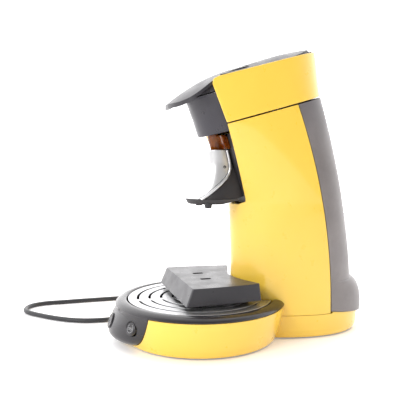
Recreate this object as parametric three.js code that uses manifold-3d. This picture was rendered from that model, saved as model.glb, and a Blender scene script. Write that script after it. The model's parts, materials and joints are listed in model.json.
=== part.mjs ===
// Pod coffee machine, in millimetres, +Z up, front towards -Y.
// Pieces are placed from the axis of the round tray drum; the last lines move that frame so that
// the origin is the middle of the machine's footprint, on the surface that it stands on.
import * as THREE from "three";
import { mergeVertices } from "three/addons/utils/BufferGeometryUtils.js";
import Module from "manifold-3d";

const wasm = await Module();
wasm.setup();

// ---------------------------------------------------------------- driving dimensions
const WALL = 2.5; // casing thickness
const GAP = 0.4; // between casings that touch
const FOOT_Z = 1.4; // the feet hold the casing this far off the table
const SEAM_Z = 27; // joint between the foot and the tower
const DRUM_TOP = 39.6; // upper edge of the drum wall
const RIM_R = 95; // outside of the dark rim
const RIM_Z = 46; // crown of the rim
const PLATE_R = 81; // steel drip plate
const PLATE_Z = 43.6; // underside of the drip plate
const PLATE_T = 1.6;
const TOWER_A = 50; // half width of the tower
const TOWER_CY = 125; // where the tower is widest
const TOWER_NOSE = 38; // front of the column
const NICHE_Z = 150; // floor of the spout niche
const CANT = THREE.MathUtils.degToRad(15.5); // slope of the head
const PARTING = { y: 16.5, z: 237.4 }; // a point on the joint under the head
const HEAD_H = 51; // height of the head band, measured upright
const CHAMBER = { y: 25.3, z: 290.9, top: 46, bottom: 43 }; // chamber axis at the head's top plane
const LID_HINGE = { y: 116, z: 316.8 };
const LEVER_PIN = { y: 40, z: 298.2 };
const TANK_SLIDE = THREE.MathUtils.degToRad(15);
const CORD_R = 3; // radius of the lead, and its height where it lies on the table
const FOOTPRINT_Y = 47.05; // middle of the footprint, measured from the drum axis

const ROUND = 32; // segments of a large circle
const SMALL = 14; // segments of a small one

// ---------------------------------------------------------------- materials
const paint = (color, roughness, metalness = 0, opacity = 1) =>
  new THREE.MeshStandardMaterial({ color, roughness, metalness, opacity, transparent: opacity < 1 });
const YELLOW = paint(0xfedb45, 0.25);
const DARK = paint(0x4a484d, 0.45);
const GLOSS = paint(0x3c3b40, 0.2);
const CHARCOAL = paint(0x3d3a3d, 0.6);
const STEEL = paint(0xc8c8ca, 0.3, 1);
const SILVER = paint(0xe4e3e4, 0.22, 1);
const AMBER = paint(0x8a4310, 0.2, 0, 0.8);
const SMOKE = paint(0x8d8785, 0.35, 0, 0.75);
const RUBBER = paint(0x2a2a2c, 0.85);
const BLACK = paint(0x141416, 0.55);
const WHITE = paint(0xe9e7e2, 0.5);
const BOARD = paint(0x2f6b3a, 0.6);

const machine = new THREE.Group();

// ---------------------------------------------------------------- solids
const manifoldOf = (positions, faces) =>
  new wasm.Manifold(new wasm.Mesh({ numProp: 3, vertProperties: positions, triVerts: faces }));

// A closed geometry as a solid, its faces turned outwards whichever way it was drawn.
function solid(geometry) {
  const g = geometry.clone();
  g.deleteAttribute("normal");
  g.deleteAttribute("uv");
  const merged = mergeVertices(g, 1e-4);
  const positions = new Float32Array(merged.attributes.position.array);
  const faces = new Uint32Array(merged.index.array);
  const made = manifoldOf(positions, faces);
  return made.volume() < 0 ? manifoldOf(positions, faces.reverse()) : made;
}

function geometryOf(body) {
  const made = body.getMesh();
  const g = new THREE.BufferGeometry();
  g.setAttribute("position", new THREE.BufferAttribute(made.vertProperties, 3));
  g.setIndex(new THREE.BufferAttribute(made.triVerts, 1));
  g.computeVertexNormals();
  return g;
}

const cut = (body, ...tools) => tools.reduce((a, b) => a.subtract(b), body);
const join = (body, ...more) => more.reduce((a, b) => a.add(b), body);
const common = (body, ...more) => more.reduce((a, b) => a.intersect(b), body);

function add(name, shape, material) {
  const body = shape.isBufferGeometry ? solid(shape) : shape;
  const mesh = new THREE.Mesh(geometryOf(body), material);
  mesh.name = name;
  machine.add(mesh);
  return mesh;
}

// A flat shape pushed up from z0 to z1.
function upright(shape, z0, z1, curveSegments = 8) {
  const g = new THREE.ExtrudeGeometry(shape, { depth: z1 - z0, bevelEnabled: false, curveSegments });
  return g.translate(0, 0, z0);
}

const SIDE_VIEW = new THREE.Matrix4().makeBasis(
  new THREE.Vector3(0, 1, 0),
  new THREE.Vector3(0, 0, 1),
  new THREE.Vector3(1, 0, 0),
);

// A side view, drawn as [y, z] points, pushed across from x0 to x1.
function across(points, x0, x1) {
  const shape = new THREE.Shape(points.map(([y, z]) => new THREE.Vector2(y, z)));
  const g = new THREE.ExtrudeGeometry(shape, { depth: x1 - x0, bevelEnabled: false });
  return g.applyMatrix4(SIDE_VIEW).translate(x0, 0, 0);
}

// A turned piece: profile of [radius, z] points.
function turned(profile, segments = SMALL) {
  const points = profile.map(([r, z]) => new THREE.Vector2(r, z));
  return new THREE.LatheGeometry(points, segments).rotateX(Math.PI / 2);
}

const ring = (inner, outer, z0, z1, segments = SMALL) =>
  turned([[inner, z0], [outer, z0], [outer, z1], [inner, z1], [inner, z0]], segments);

const disc = (radius, z0, z1, segments = SMALL) =>
  turned([[0, z0], [radius, z0], [radius, z1], [0, z1]], segments);

const box = (x0, x1, y0, y1, z0, z1) =>
  new THREE.BoxGeometry(x1 - x0, y1 - y0, z1 - z0).translate((x0 + x1) / 2, (y0 + y1) / 2, (z0 + z1) / 2);

// Moves a piece made along +Z to `at`, with +Z turned to `along`.
function placed(geometry, at, along) {
  const turn = new THREE.Quaternion().setFromUnitVectors(
    new THREE.Vector3(0, 0, 1),
    new THREE.Vector3(...along).normalize(),
  );
  return geometry.applyQuaternion(turn).translate(...at);
}

// A rod along X.
const rod = (radius, x0, x1, y, z, segments = SMALL) =>
  placed(disc(radius, 0, x1 - x0, segments), [x0, y, z], [1, 0, 0]);

function capFaces(ring2d, first, wantPositive) {
  const faces = THREE.ShapeUtils.triangulateShape(ring2d, []);
  return faces.flatMap(([a, b, c]) => {
    const area = THREE.ShapeUtils.area([ring2d[a], ring2d[b], ring2d[c]]);
    const keep = area > 0 === wantPositive;
    return keep ? [first + a, first + b, first + c] : [first + a, first + c, first + b];
  });
}

// A closed skin through equal rings of points; `flat` gives a ring's points in its own plane,
// where the rings run anticlockwise when the next ring lies above.
function loft(rings, flat = (p) => new THREE.Vector2(p.x, p.y)) {
  const n = rings[0].length;
  const index = [];
  for (let k = 0; k < rings.length - 1; k++) {
    for (let i = 0; i < n; i++) {
      const a = k * n + i;
      const b = k * n + ((i + 1) % n);
      index.push(a, b, b + n, a, b + n, a + n);
    }
  }
  index.push(...capFaces(rings[0].map(flat), 0, false));
  index.push(...capFaces(rings.at(-1).map(flat), (rings.length - 1) * n, true));
  const g = new THREE.BufferGeometry();
  const positions = rings.flat().flatMap((p) => [p.x, p.y, p.z]);
  g.setAttribute("position", new THREE.Float32BufferAttribute(positions, 3));
  g.setIndex(index);
  return g;
}

// ---------------------------------------------------------------- outlines
// An egg outline: half width a, widest at y = middle, from y = nose to y = rear.
function egg(z, { a, middle, nose, rear, power }, inset = 0, count = 30) {
  const points = [];
  for (let i = 0; i < count; i++) {
    const t = (2 * Math.PI * i) / count;
    const c = Math.cos(t);
    const s = Math.sin(t);
    const b = s < 0 ? middle - nose - inset : rear - middle - inset;
    const round = (v) => Math.sign(v) * Math.abs(v) ** (2 / power);
    points.push(new THREE.Vector3((a - inset) * round(c), middle + b * round(s), z));
  }
  return points;
}

const HEAD_REAR_Z = 272.6; // above this the rear of the head stands almost upright
const tankRear = (z) =>
  183.5 - 0.00663 * Math.max(0, Math.min(z, HEAD_REAR_Z) - 45) ** 1.63 - 0.13 * Math.max(0, z - HEAD_REAR_Z);
const tankBulge = (z) => (z < 62 ? 15.7 * Math.sqrt(1 - ((z - 31) / 31) ** 2) : 0);
const tankFront = (z) => 139 - 0.00085 * Math.max(0, z - 30) ** 2;

// The tower stands upright to the niche, then leans forward and squares up towards the head.
function towerSection(z) {
  const rise = Math.max(0, (z - NICHE_Z) / (PARTING.z - NICHE_Z));
  const low = Math.min(rise, 1);
  const lean = low ** 1.25 + 0.6 * Math.max(0, rise - 1);
  const lip = 2.6 * THREE.MathUtils.clamp((z - 80) / 70, 0, 1) ** 1.5;
  return {
    a: TOWER_A + 2 * low,
    middle: TOWER_CY - 38 * lean,
    nose: TOWER_NOSE - lip - 74.4 * lean,
    rear: tankRear(z),
    power: 2 + 0.4 * low,
  };
}

const TOWER_LEVELS = [SEAM_Z + GAP, 75, 115, NICHE_Z, 168, 188, 210, 232, 255, 278, 300, 335];
const tower = (inset = 0, low = TOWER_LEVELS[0], high = TOWER_LEVELS.at(-1)) => {
  const levels = [low, ...TOWER_LEVELS.slice(1, -1), high];
  return solid(loft(levels.map((z) => egg(z, towerSection(z), inset))));
};

// The lower column alone, `out` mm larger all round.
const column = (out, z0, z1) =>
  solid(loft([z0, z1].map((z) => egg(z, towerSection(SEAM_Z), -out))));

const headLine = (y, up = 0) => PARTING.z + up + Math.tan(CANT) * (y - PARTING.y);
const nicheEdge = (z) => 44 - ((44 - PARTING.y) * (z - NICHE_Z)) / (PARTING.z - NICHE_Z);

// Points of an arc in a side view.
function arc(y, z, radius, from, to, steps = 4) {
  const points = [];
  for (let i = 0; i <= steps; i++) {
    const t = THREE.MathUtils.degToRad(from + ((to - from) * i) / steps);
    points.push([y + radius * Math.cos(t), z + radius * Math.sin(t)]);
  }
  return points;
}

const tankFrontLine = (offset, z0, z1, steps = 7) =>
  Array.from({ length: steps + 1 }, (_, i) => {
    const z = z0 + ((z1 - z0) * i) / steps;
    return [tankFront(z) + offset, z];
  });

// ---------------------------------------------------------------- foot and drum
const drumRadius = (z) => 83.8 + 0.4 * z - 0.0033 * z * z;

function drumSolid(inset, z0, z1) {
  const levels = [z0, 5, 15, 27, z1];
  const side = levels.map((z, i) => [drumRadius(z) - inset - (i === 0 && inset === 0 ? 1.5 : 0), z]);
  return solid(turned([[0, z0], ...side, [0, z1]], ROUND));
}

const FOOT_REAR = 194;

function footSolid(inset, z0, z1) {
  const at = (z, tuck) =>
    egg(z, { a: TOWER_A - tuck, middle: TOWER_CY, nose: TOWER_NOSE + tuck, rear: FOOT_REAR - tuck, power: 2 }, inset);
  return solid(loft([at(z0, 5), at(4, 2.6), at(10, 0.8), at(z1, 0)]));
}

const footTop = (y) => (y < 139 ? SEAM_Z : 29 - 0.14 * (y - 139));

function baseShell() {
  const top = [[210, footTop(210)], [139.2, footTop(139.2)], [139.2, SEAM_Z], [0, SEAM_Z]];
  const foot = common(footSolid(0, FOOT_Z, 34), solid(across([[0, 0], [210, 0], ...top], -70, 70)));
  const walls = join(drumSolid(0, FOOT_Z, DRUM_TOP), foot);
  const hollow = join(drumSolid(WALL, -5, 60), footSolid(WALL, -5, 60));
  return cut(walls, hollow, column(0.5, SEAM_Z, 60), panelBody(0.8, 25), cordHole());
}

function basePlate() {
  const drum = solid(disc(drumRadius(3) - WALL - GAP - 1.2, FOOT_Z + 0.4, FOOT_Z + 2.6, ROUND));
  const foot = solid(loft([FOOT_Z + 0.4, FOOT_Z + 2.6].map((z) =>
    egg(z, { a: 43, middle: TOWER_CY, nose: 60, rear: 182, power: 2 }))));
  return cut(join(drum, foot), panelBody(0.8, 25));
}

const SCREWS = [[-58, 10], [58, 10], [-22, 168], [22, 168]];

function addScrews() {
  SCREWS.forEach(([x, y], i) => {
    add("base_screw_" + (i + 1), disc(3.2, FOOT_Z - 0.8, FOOT_Z + 0.1, 10).translate(x, y, 0), STEEL);
  });
}

const FEET = [[-48, -42], [48, -42], [-30, 150], [30, 150], [0, 66]];

function addFeet() {
  FEET.forEach(([x, y], i) => {
    const pad = disc(8, 0, FOOT_Z, SMALL).translate(x, y, 0);
    add("rubber_foot_" + (i + 1), pad, RUBBER);
  });
}

// ---------------------------------------------------------------- rim and control panel
const PANEL_EDGE = 41; // degrees each side of the front at the rim
const panelBottom = (deg) => 4.5 + 36 * (Math.min(Math.abs(deg), PANEL_EDGE) / PANEL_EDGE) ** 5;
const panelAngle = (z) => PANEL_EDGE * Math.max(0.05, (z - 4.4) / 36) ** 0.2;

// How far the panel stands out in front of the drum wall.
function panelOuter(deg, z) {
  const tuck = Math.max(0, 16 - z) / 12.5;
  const front = 103.5 - 0.0125 * (z - 10) ** 2 - 18 * (1 - Math.sqrt(Math.max(0, 1 - tuck * tuck)));
  const side = Math.max(0, 1 - (deg / (panelAngle(z) + 0.5)) ** 2) ** 0.9;
  return drumRadius(z) + 0.4 + Math.max(0, front - drumRadius(z)) * side;
}

const polar = (radius, deg, z) => {
  const t = THREE.MathUtils.degToRad(deg);
  return new THREE.Vector3(radius * Math.sin(t), -radius * Math.cos(t), z);
};

// The panel as a curved slab `thick` deep, grown by `grow` at its edges.
function panelBody(grow, thick) {
  const edge = PANEL_EDGE + grow * 0.7;
  const steps = 10;
  const rings = [];
  for (let i = 0; i <= steps; i++) {
    const deg = -edge + (2 * edge * i) / steps;
    const low = panelBottom(deg) - grow;
    const rows = [0, 0.08, 0.32, 0.64, 1].map((t) => low + (41.2 + grow - low) * t);
    const outside = rows.map((z) => polar(panelOuter(deg, z) + grow * 4, deg, z));
    const inside = rows.map((z) => polar(panelOuter(deg, z) - thick, deg, z)).reverse();
    rings.push([...outside, ...inside]);
  }
  return solid(loft(rings, (p) => new THREE.Vector2(Math.hypot(p.x, p.y), p.z)));
}

// The panel's underside, which closes the chin.
function panelChin() {
  const steps = 8;
  const rings = [];
  for (let i = 0; i <= steps; i++) {
    const deg = -24 + (48 * i) / steps;
    const low = panelBottom(deg);
    const outer = panelOuter(deg, low) - 0.2;
    const inner = Math.min(drumRadius(low) - 1, outer - 1.2);
    rings.push([polar(outer, deg, low), polar(outer + 0.6, deg, low + WALL),
      polar(inner, deg, low + WALL), polar(inner, deg, low)]);
  }
  return solid(loft(rings, (p) => new THREE.Vector2(Math.hypot(p.x, p.y), p.z)));
}

const BUTTONS = [
  { name: "one_cup_button", deg: -27, z: 27, r: 7 },
  { name: "power_button", deg: 0, z: 25, r: 8.5 },
  { name: "two_cup_button", deg: 27, z: 27, r: 7 },
];

const buttonAxis = ({ deg }) => {
  const t = THREE.MathUtils.degToRad(deg);
  return [Math.sin(t) * 0.94, -Math.cos(t) * 0.94, 0.34];
};
const buttonSeat = ({ deg, z }) => polar(panelOuter(deg, z), deg, z).toArray();

function rimAndPanel() {
  const section = [[81.6, 41], [82.4, 45], [84.5, RIM_Z], [89, 45.6], [93, 43.6], [RIM_R, 41],
    [94.6, DRUM_TOP + GAP], [88, DRUM_TOP + GAP], [83, 40.6], [81.6, 41]];
  let body = join(solid(turned(section, ROUND)), panelBody(0, WALL), panelChin());
  for (const b of BUTTONS) {
    body = cut(body, solid(placed(disc(b.r + GAP, -14, 8), buttonSeat(b), buttonAxis(b))));
  }
  return cut(body, column(0.5, 0, 80));
}

function addButtons() {
  for (const b of BUTTONS) {
    const cap = [[0, -7], [3, -7], [3, -1.6], [b.r, -1.6], [b.r, 0.4], [b.r - 1.2, 1.2], [0, 0.8]];
    add(b.name, placed(turned(cap), buttonSeat(b), buttonAxis(b)), GLOSS);
    const pad = disc(3.4, -12.4, -9.2);
    add(b.name.replace("button", "switch"), placed(pad, buttonSeat(b), buttonAxis(b)), WHITE);
  }
}

function controlBoard() {
  const outline = new THREE.Shape();
  outline.moveTo(-42, -62);
  outline.quadraticCurveTo(0, -86, 42, -62);
  outline.lineTo(42, -56);
  outline.quadraticCurveTo(0, -79, -42, -56);
  return upright(outline, 8, 9.6, 8);
}

// ---------------------------------------------------------------- drip tray, plate, cup stand
function dripTray() {
  const outside = solid(turned([[0, 11], [72, 11], [76, 15], [79.6, 43], [0, 43]], ROUND));
  const inside = solid(turned([[0, 13], [70.5, 13], [74, 16.5], [77.4, 45], [0, 45]], ROUND));
  return cut(cut(outside, column(2, 0, 80)), cut(inside, column(4, 0, 80)));
}

const SLOT_RADII = [18, 31, 44, 57, 70];

function arcSlot(radius, width, from, to) {
  const slot = new THREE.Shape();
  slot.absarc(0, 0, radius + width / 2, from, to, false);
  slot.absarc(0, 0, radius - width / 2, to, from, true);
  return solid(upright(slot, PLATE_Z - 3, PLATE_Z + 6, 4));
}

function dripPlate() {
  let plate = cut(solid(disc(PLATE_R, PLATE_Z, PLATE_Z + PLATE_T, 48)), column(1.6, 0, 80));
  for (const radius of SLOT_RADII) {
    const bridge = 5 / radius;
    const rear = radius > 40 ? 0.5 + 14 / radius : 0;
    for (const side of [0, 1]) {
      const from = side ? Math.PI / 2 + rear + bridge : -Math.PI / 2 + bridge;
      const to = side ? 1.5 * Math.PI - bridge : Math.PI / 2 - rear - bridge;
      plate = cut(plate, arcSlot(radius, 2.6, from, to));
    }
  }
  return plate;
}

const STAND = { top: 68, bottom: 50, front: -25, rear: 50.5, frontHalf: 62, rearHalf: 55 };

// Plan of the cup stand at height z, `out` mm larger all round. Its front face leans out the most.
function standOutline(z, out) {
  const spread = (STAND.top - z) / (STAND.top - STAND.bottom);
  const front = STAND.front - 7.3 * spread - out;
  const rear = STAND.rear + 1.8 * spread + out;
  const f = STAND.frontHalf + 1.5 * spread + out;
  const r = STAND.rearHalf + 1.5 * spread + out;
  const notch = 19 + 1.6 * out;
  const round = 3;
  const s = new THREE.Shape();
  s.moveTo(-f + round, front);
  s.lineTo(f - round, front);
  s.quadraticCurveTo(f, front, f - 0.2, front + round);
  s.quadraticCurveTo(f - 1, 18, r + 0.5, rear - round);
  s.quadraticCurveTo(r, rear + 1, r - round, rear - 0.5);
  s.quadraticCurveTo(0, notch, -r + round, rear - 0.5);
  s.quadraticCurveTo(-r, rear + 1, -r - 0.5, rear - round);
  s.quadraticCurveTo(-f + 1, 18, -f + 0.2, front + round);
  s.quadraticCurveTo(-f, front, -f + round, front);
  return s;
}

function standBlock(out, z0, z1) {
  const at = (z) => standOutline(z, out).getPoints(5).slice(0, -1).map((p) => new THREE.Vector3(p.x, p.y, z));
  return solid(loft([at(z0), at(z1)]));
}

function cupStand() {
  const shell = cut(standBlock(0, STAND.bottom, STAND.top), standBlock(-2.2, 40, STAND.top - 2.2));
  const slots = [-16, 16].map((x) => solid(box(x - 3, x + 3, -4, 8, 60, 70)));
  const legs = [[-50, -14], [50, -14], [-43, 40], [43, 40]].map(([x, y]) =>
    solid(disc(2.4, PLATE_Z + PLATE_T + 0.3, STAND.top - 1.5, 10).translate(x, y, 0)));
  return join(cut(shell, ...slots), ...legs);
}

// ---------------------------------------------------------------- tower
function towerRegion(inset) {
  const top = PARTING.z - 0.8 - inset;
  const rear = tankFrontLine(-GAP, SEAM_Z, 257).reverse();
  const lean = nicheEdge(top);
  return [
    [0, NICHE_Z], ...arc(40, NICHE_Z + 6, 6, 270, 340, 3), [lean, top],
    [rear[0][0], headLine(rear[0][0], -0.8)], ...rear, [tankFront(0) - GAP, 10], [0, 10],
  ];
}

function towerShell() {
  const skin = cut(tower(), tower(WALL, 10, 350));
  const floor = common(tower(1), solid(box(-60, 60, 0, 48, NICHE_Z - WALL, NICHE_Z + 1)));
  return common(join(skin, floor), solid(across(towerRegion(0), -70, 70)));
}

// Back wall of the niche, just inside the shell.
function nicheWall() {
  const z0 = NICHE_Z + 1.2;
  const z1 = PARTING.z - 10;
  const front = (z) => nicheEdge(z) + 3.4;
  const side = [[front(z0), z0], [front(z0) + WALL, z0], [front(z1) + WALL, z1], [front(z1), z1]];
  return common(tower(WALL + GAP, 10, 350), solid(across(side, -70, 70)));
}

function innerFrame() {
  const parts = [
    box(-30, 30, 66, 121, SEAM_Z + 3, SEAM_Z + 6),
    box(-30, 30, 118, 121, SEAM_Z + 3, 146),
    box(-27, 27, 60, 121, 104, 107),
  ];
  return join(...parts.map(solid));
}

function addPump() {
  const body = [[0, 0], [18, 0], [18, 30], [11, 34], [11, 44], [4, 46], [4, 54], [0, 54]];
  add("pump", turned(body, 20).translate(0, 92, SEAM_Z + 8), CHARCOAL);
  add("pump_mount", ring(18.5, 22, SEAM_Z + 6.3, SEAM_Z + 14, 20).translate(0, 92, 0), RUBBER);
}

function addBoiler() {
  const can = [[0, 107.4], [26, 107.4], [30, 111], [30, 166], [24, 173], [4, 174], [4, 180], [2.5, 180],
    [2.5, 172.4], [23.3, 171.4], [28.4, 165.4], [28.4, 111.7], [25.3, 109], [0, 109]];
  add("boiler", turned(can, 24).translate(0, 84, 0), STEEL);
  add("thermostat", disc(7, 0, 6).rotateX(Math.PI / 2).translate(0, 53.6, 140), BLACK);
}

// A round section carried along a smooth curve through the points.
function swept(points, radius, steps) {
  const extrudePath = new THREE.CatmullRomCurve3(points.map((p) => new THREE.Vector3(...p)));
  const section = new THREE.Shape();
  section.absarc(0, 0, radius, 0, 2 * Math.PI, false);
  return new THREE.ExtrudeGeometry(section, { steps, extrudePath, curveSegments: 4, bevelEnabled: false });
}

// Cold water from the pump to the boiler, and hot water from the boiler up to the lid.
function addHoses() {
  const cold = [[0, 92, 90], [1, 92, 95], [10, 92, 99], [27, 92, 97], [37, 91, 104], [39, 87, 114],
    [34, 84, 120]];
  const hot = [[0, 84, 180.5], [0, 85, 196], [8, 87, 222], [18, 87, 254], [20, 98, 280], [20, 110, 294]];
  add("pump_hose", swept(cold, 3, 12), WHITE);
  add("brew_hose", swept(hot, 3, 12), WHITE);
}

function circuitBoard() {
  return box(-30, 30, 122.2, 123.8, 45, 100);
}

// ---------------------------------------------------------------- water tank
const tankSection = (z) => ({
  ...towerSection(z),
  rear: tankRear(z) + tankBulge(z),
});

const tankBlock = (inset) => {
  const levels = [14, 22, 31, 42, 52, 58, 62, 75, 115, NICHE_Z, 168, 188, 210, 232, 255, 300];
  return solid(loft(levels.map((z) => egg(z, tankSection(z), inset))));
};

function tankRegion(inset, open) {
  const low = (y) => footTop(y) + 0.6 + inset;
  const front = tankFrontLine(GAP + inset, 32 + inset, 257);
  const topY = front.at(-1)[0];
  const top = (y) => headLine(y, -0.8 + open);
  return [[139.6 + inset, low(139.6)], [215, low(215)], [215, top(215)], [topY, top(topY)], ...front.reverse()];
}

const VALVE = { y: 141, z: 44, r: 6 };
const slideWay = [0, Math.cos(TANK_SLIDE), Math.sin(TANK_SLIDE)];
const alongSlide = (geometry) => placed(geometry, [0, VALVE.y, VALVE.z], slideWay);

function waterTank() {
  const block = common(tankBlock(0), solid(across(tankRegion(0, 0), -70, 70)));
  const hollow = common(tankBlock(WALL), solid(across(tankRegion(WALL, 60), -70, 70)));
  return cut(block, hollow, solid(alongSlide(disc(VALVE.r + GAP, -20, 9))));
}

function addValve() {
  const body = [[0, -9], [4.5, -9], [4.5, -3], [VALVE.r, -3], [VALVE.r, 6], [9, 6], [9, 8], [5, 12], [0, 12]];
  add("tank_valve", alongSlide(turned(body)), BLACK);
  const cup = [[0, -15], [9, -15], [9, -5], [5.2, -5], [5.2, -12], [0, -12]];
  add("valve_seat", alongSlide(turned(cup)), RUBBER);
}

function addFloat() {
  add("tank_float", disc(9, 0, 14).translate(0, 168, 42), WHITE);
}

// ---------------------------------------------------------------- head, chamber, lid, lever
const HEAD_AXIS = [0, -Math.sin(CANT), Math.cos(CANT)];
const canted = (geometry) => placed(geometry, [0, CHAMBER.y, CHAMBER.z], HEAD_AXIS);

function headRegion() {
  const bottom = (y) => headLine(y, 0.8);
  const top = (y) => headLine(y, HEAD_H);
  const edge = (z) => PARTING.y - 0.4 * (z - PARTING.z);
  const corner = edge(281);
  return [
    [PARTING.y, bottom(PARTING.y)], [210, bottom(210)], [210, top(210)], [corner + 9, top(corner + 9)],
    [corner + 4, top(corner + 4) - 0.4], [corner + 1.4, top(corner + 1.4) - 1.9], [corner, 279.5],
  ];
}

function headShell() {
  return common(cut(tower(), tower(WALL, 10, 350)), solid(across(headRegion(), -70, 70)));
}

function brewChamber() {
  const { top, bottom } = CHAMBER;
  const cup = canted(turned([[0, -58], [bottom - 1.5, -58], [bottom, -56.5], [top, -15], [top - 3, -15],
    [bottom - 2.6, -54], [0, -54]], ROUND));
  return cut(solid(cup), leverRoom(), solid(canted(disc(6, -62, -40))));
}

function addBrewParts() {
  const holder = [[0, -34], [14, -34], [30, -28], [34, -27], [36, -24], [38, -24], [38, -22.5], [35, -22.5],
    [33, -25.5], [29.4, -26.4], [13.6, -32.4], [0, -32.4]];
  add("pod_holder", canted(turned(holder, 32)), STEEL);
  add("holder_ledge", canted(ring(36, 40.2, -30, -25, 32)), DARK);
  add("chamber_seal", canted(ring(30, 34, -21, -17.2, 32)), RUBBER);
  add("water_disc", canted(turned([[0, -16.6], [36, -16.6], [36, -14.4], [0, -14.4]], 32)), STEEL);
}

// Height of the lever's top surface on its centre line.
const leverTop = (y) => 260 + 0.83 * (y + 37) - 0.0039 * (y + 37) ** 2;
const LEVER_HALF = 42;
const leverHalf = (y) => {
  const tip = Math.max(0, -5 - y) / 33.2;
  return Math.max(5, LEVER_HALF * Math.sqrt(Math.max(0, 1 - tip * tip)));
};
const leverCrown = (y) => THREE.MathUtils.clamp(13 - 0.235 * (y + 33), 3, 13);

// A crowned tongue; `grow` widens it and `below`, `above` are its two faces from the top surface.
function tongue(levels, grow, below, above) {
  const rings = levels.map((y) => {
    const half = leverHalf(y) + grow;
    const row = Array.from({ length: 9 }, (_, i) => -half + (half * i) / 4);
    const z = (x) => leverTop(y) - leverCrown(y) * (x / LEVER_HALF) ** 2;
    const up = row.map((x) => new THREE.Vector3(x, y, z(x) + above));
    const down = row.map((x) => new THREE.Vector3(x, y, z(x) - below)).reverse();
    return [...up, ...down];
  });
  return solid(loft(rings, (p) => new THREE.Vector2(-p.x, p.z)));
}

const LEVER_LEVELS = [-38, -36.5, -33, -27, -17, -5, 8, 20, 32, 39.5];
const leverRoom = () => tongue([-60, -38, -36.5, -33, -27, -17, -5, 8, 20, 32, 41], 1.2, 4.8, 40);

const PIN_STATIONS = [-16, 16];

function lever() {
  const knuckle = solid(rod(2.5, -29, 29, LEVER_PIN.y, LEVER_PIN.z));
  const hook = solid(box(-8, 8, -20.6, -18.2, 264.6, 270));
  let body = join(tongue(LEVER_LEVELS, 0, 3.8, 0), knuckle, hook);
  for (const x of PIN_STATIONS) body = cut(body, solid(box(x - 2.6, x + 2.6, 35.5, 46, 290, 306)));
  return cut(body, solid(rod(1.35, -40, 40, LEVER_PIN.y, LEVER_PIN.z, 12)));
}

function lidPlan() {
  const r = 46.2;
  const plan = new THREE.Shape();
  plan.moveTo(r, 120);
  plan.lineTo(r, 0);
  plan.absarc(0, 0, r, 0, Math.PI, true);
  plan.lineTo(-r, 120);
  return plan;
}

// Crown of the lid on its centre line, as [y, z] points.
const LID_END = LID_HINGE.y - 3;
const LID_CROWN = [[-30, 283], [-8, 287.5], [16, 294], [41, 300.6], [62, 308], [82, 314.4],
  [98, 318.3], [LID_END, 320]];

// The lid's arched section, pushed along the slope of the head.
function lidDome() {
  const arch = Array.from({ length: 13 }, (_, i) => -54 + 9 * i);
  const outline = arch.map((x) => new THREE.Vector2(x, 9.5 - (x * x) / 255));
  outline.push(new THREE.Vector2(54, -40), new THREE.Vector2(-54, -40));
  const g = new THREE.ExtrudeGeometry(new THREE.Shape(outline), { depth: 260, bevelEnabled: false });
  g.rotateX(Math.PI / 2).translate(0, 190, 0).rotateX(CANT);
  return g.translate(0, CHAMBER.y, CHAMBER.z);
}

// The lid: a crowned cover inside the head band, hollow below.
function lid() {
  const under = (y) => headLine(y, HEAD_H) - 14.6;
  const side = across([[-30, under(-30)], [LID_END, under(LID_END)], ...LID_CROWN.slice().reverse()], -60, 60);
  const plan = canted(upright(lidPlan(), -30, 40, 20));
  const body = common(tower(WALL + 0.8, 10, 350), solid(side), solid(lidDome()), solid(plan));
  const back = LID_END - 4;
  const room = [[50, under(50) - 5], [back, under(back) - 5], [back, under(back) + 10], [50, under(50) + 11]];
  const hollow = common(tower(WALL + 3.6, 10, 350), solid(across(room, -38, 38)));
  const lugs = PIN_STATIONS.map((x) => join(
    solid(rod(2.5, x - 2, x + 2, LEVER_PIN.y, LEVER_PIN.z)),
    solid(box(x - 2, x + 2, LEVER_PIN.y - 2.5, LEVER_PIN.y + 2.5, 288, LEVER_PIN.z))));
  const ears = [-15.2, 15.2].map((x) => join(
    solid(rod(3, x - 5.6, x + 5.6, LID_HINGE.y, LID_HINGE.z)),
    solid(box(x - 5.6, x + 5.6, LID_END - 1.6, LID_HINGE.y, LID_HINGE.z - 3, LID_HINGE.z + 2))));
  const pinWay = solid(rod(1.35, -32, 32, LEVER_PIN.y, LEVER_PIN.z, 12));
  const hingeWay = solid(rod(1.9, -40, 40, LID_HINGE.y, LID_HINGE.z, 12));
  const shaped = cut(body, hollow, leverRoom(), solid(rod(3, -33.2, 33.2, LEVER_PIN.y, LEVER_PIN.z)));
  return cut(join(shaped, ...lugs, ...ears), pinWay, hingeWay);
}

// Fixed cover behind the lid, with the outer knuckles of its hinge.
function rearCap() {
  const y0 = LID_HINGE.y + 3.8;
  const side = across([[y0, 300], [200, 300], [200, 326], [y0 + 6, 321.8], [y0, 321]], -60, 60);
  const body = common(tower(WALL + GAP, 10, 350), solid(side), solid(across(
    [[y0, 290], [200, 290], [200, headLine(200, HEAD_H) - 3], [y0, headLine(y0, HEAD_H) + 2]], -60, 60)));
  const knuckles = [[-9, 9], [-26, -21.4], [21.4, 26]].map(([x0, x1]) => join(
    solid(rod(3, x0, x1, LID_HINGE.y, LID_HINGE.z)),
    solid(box(x0, x1, LID_HINGE.y, y0 + 2, LID_HINGE.z - 3, LID_HINGE.z))));
  return cut(join(body, ...knuckles), solid(rod(1.9, -40, 40, LID_HINGE.y, LID_HINGE.z, 12)));
}

// ---------------------------------------------------------------- spout
const SPOUT_Z = 150.6;
const NOZZLE = { x: 18.6, y: 4 };

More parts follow.
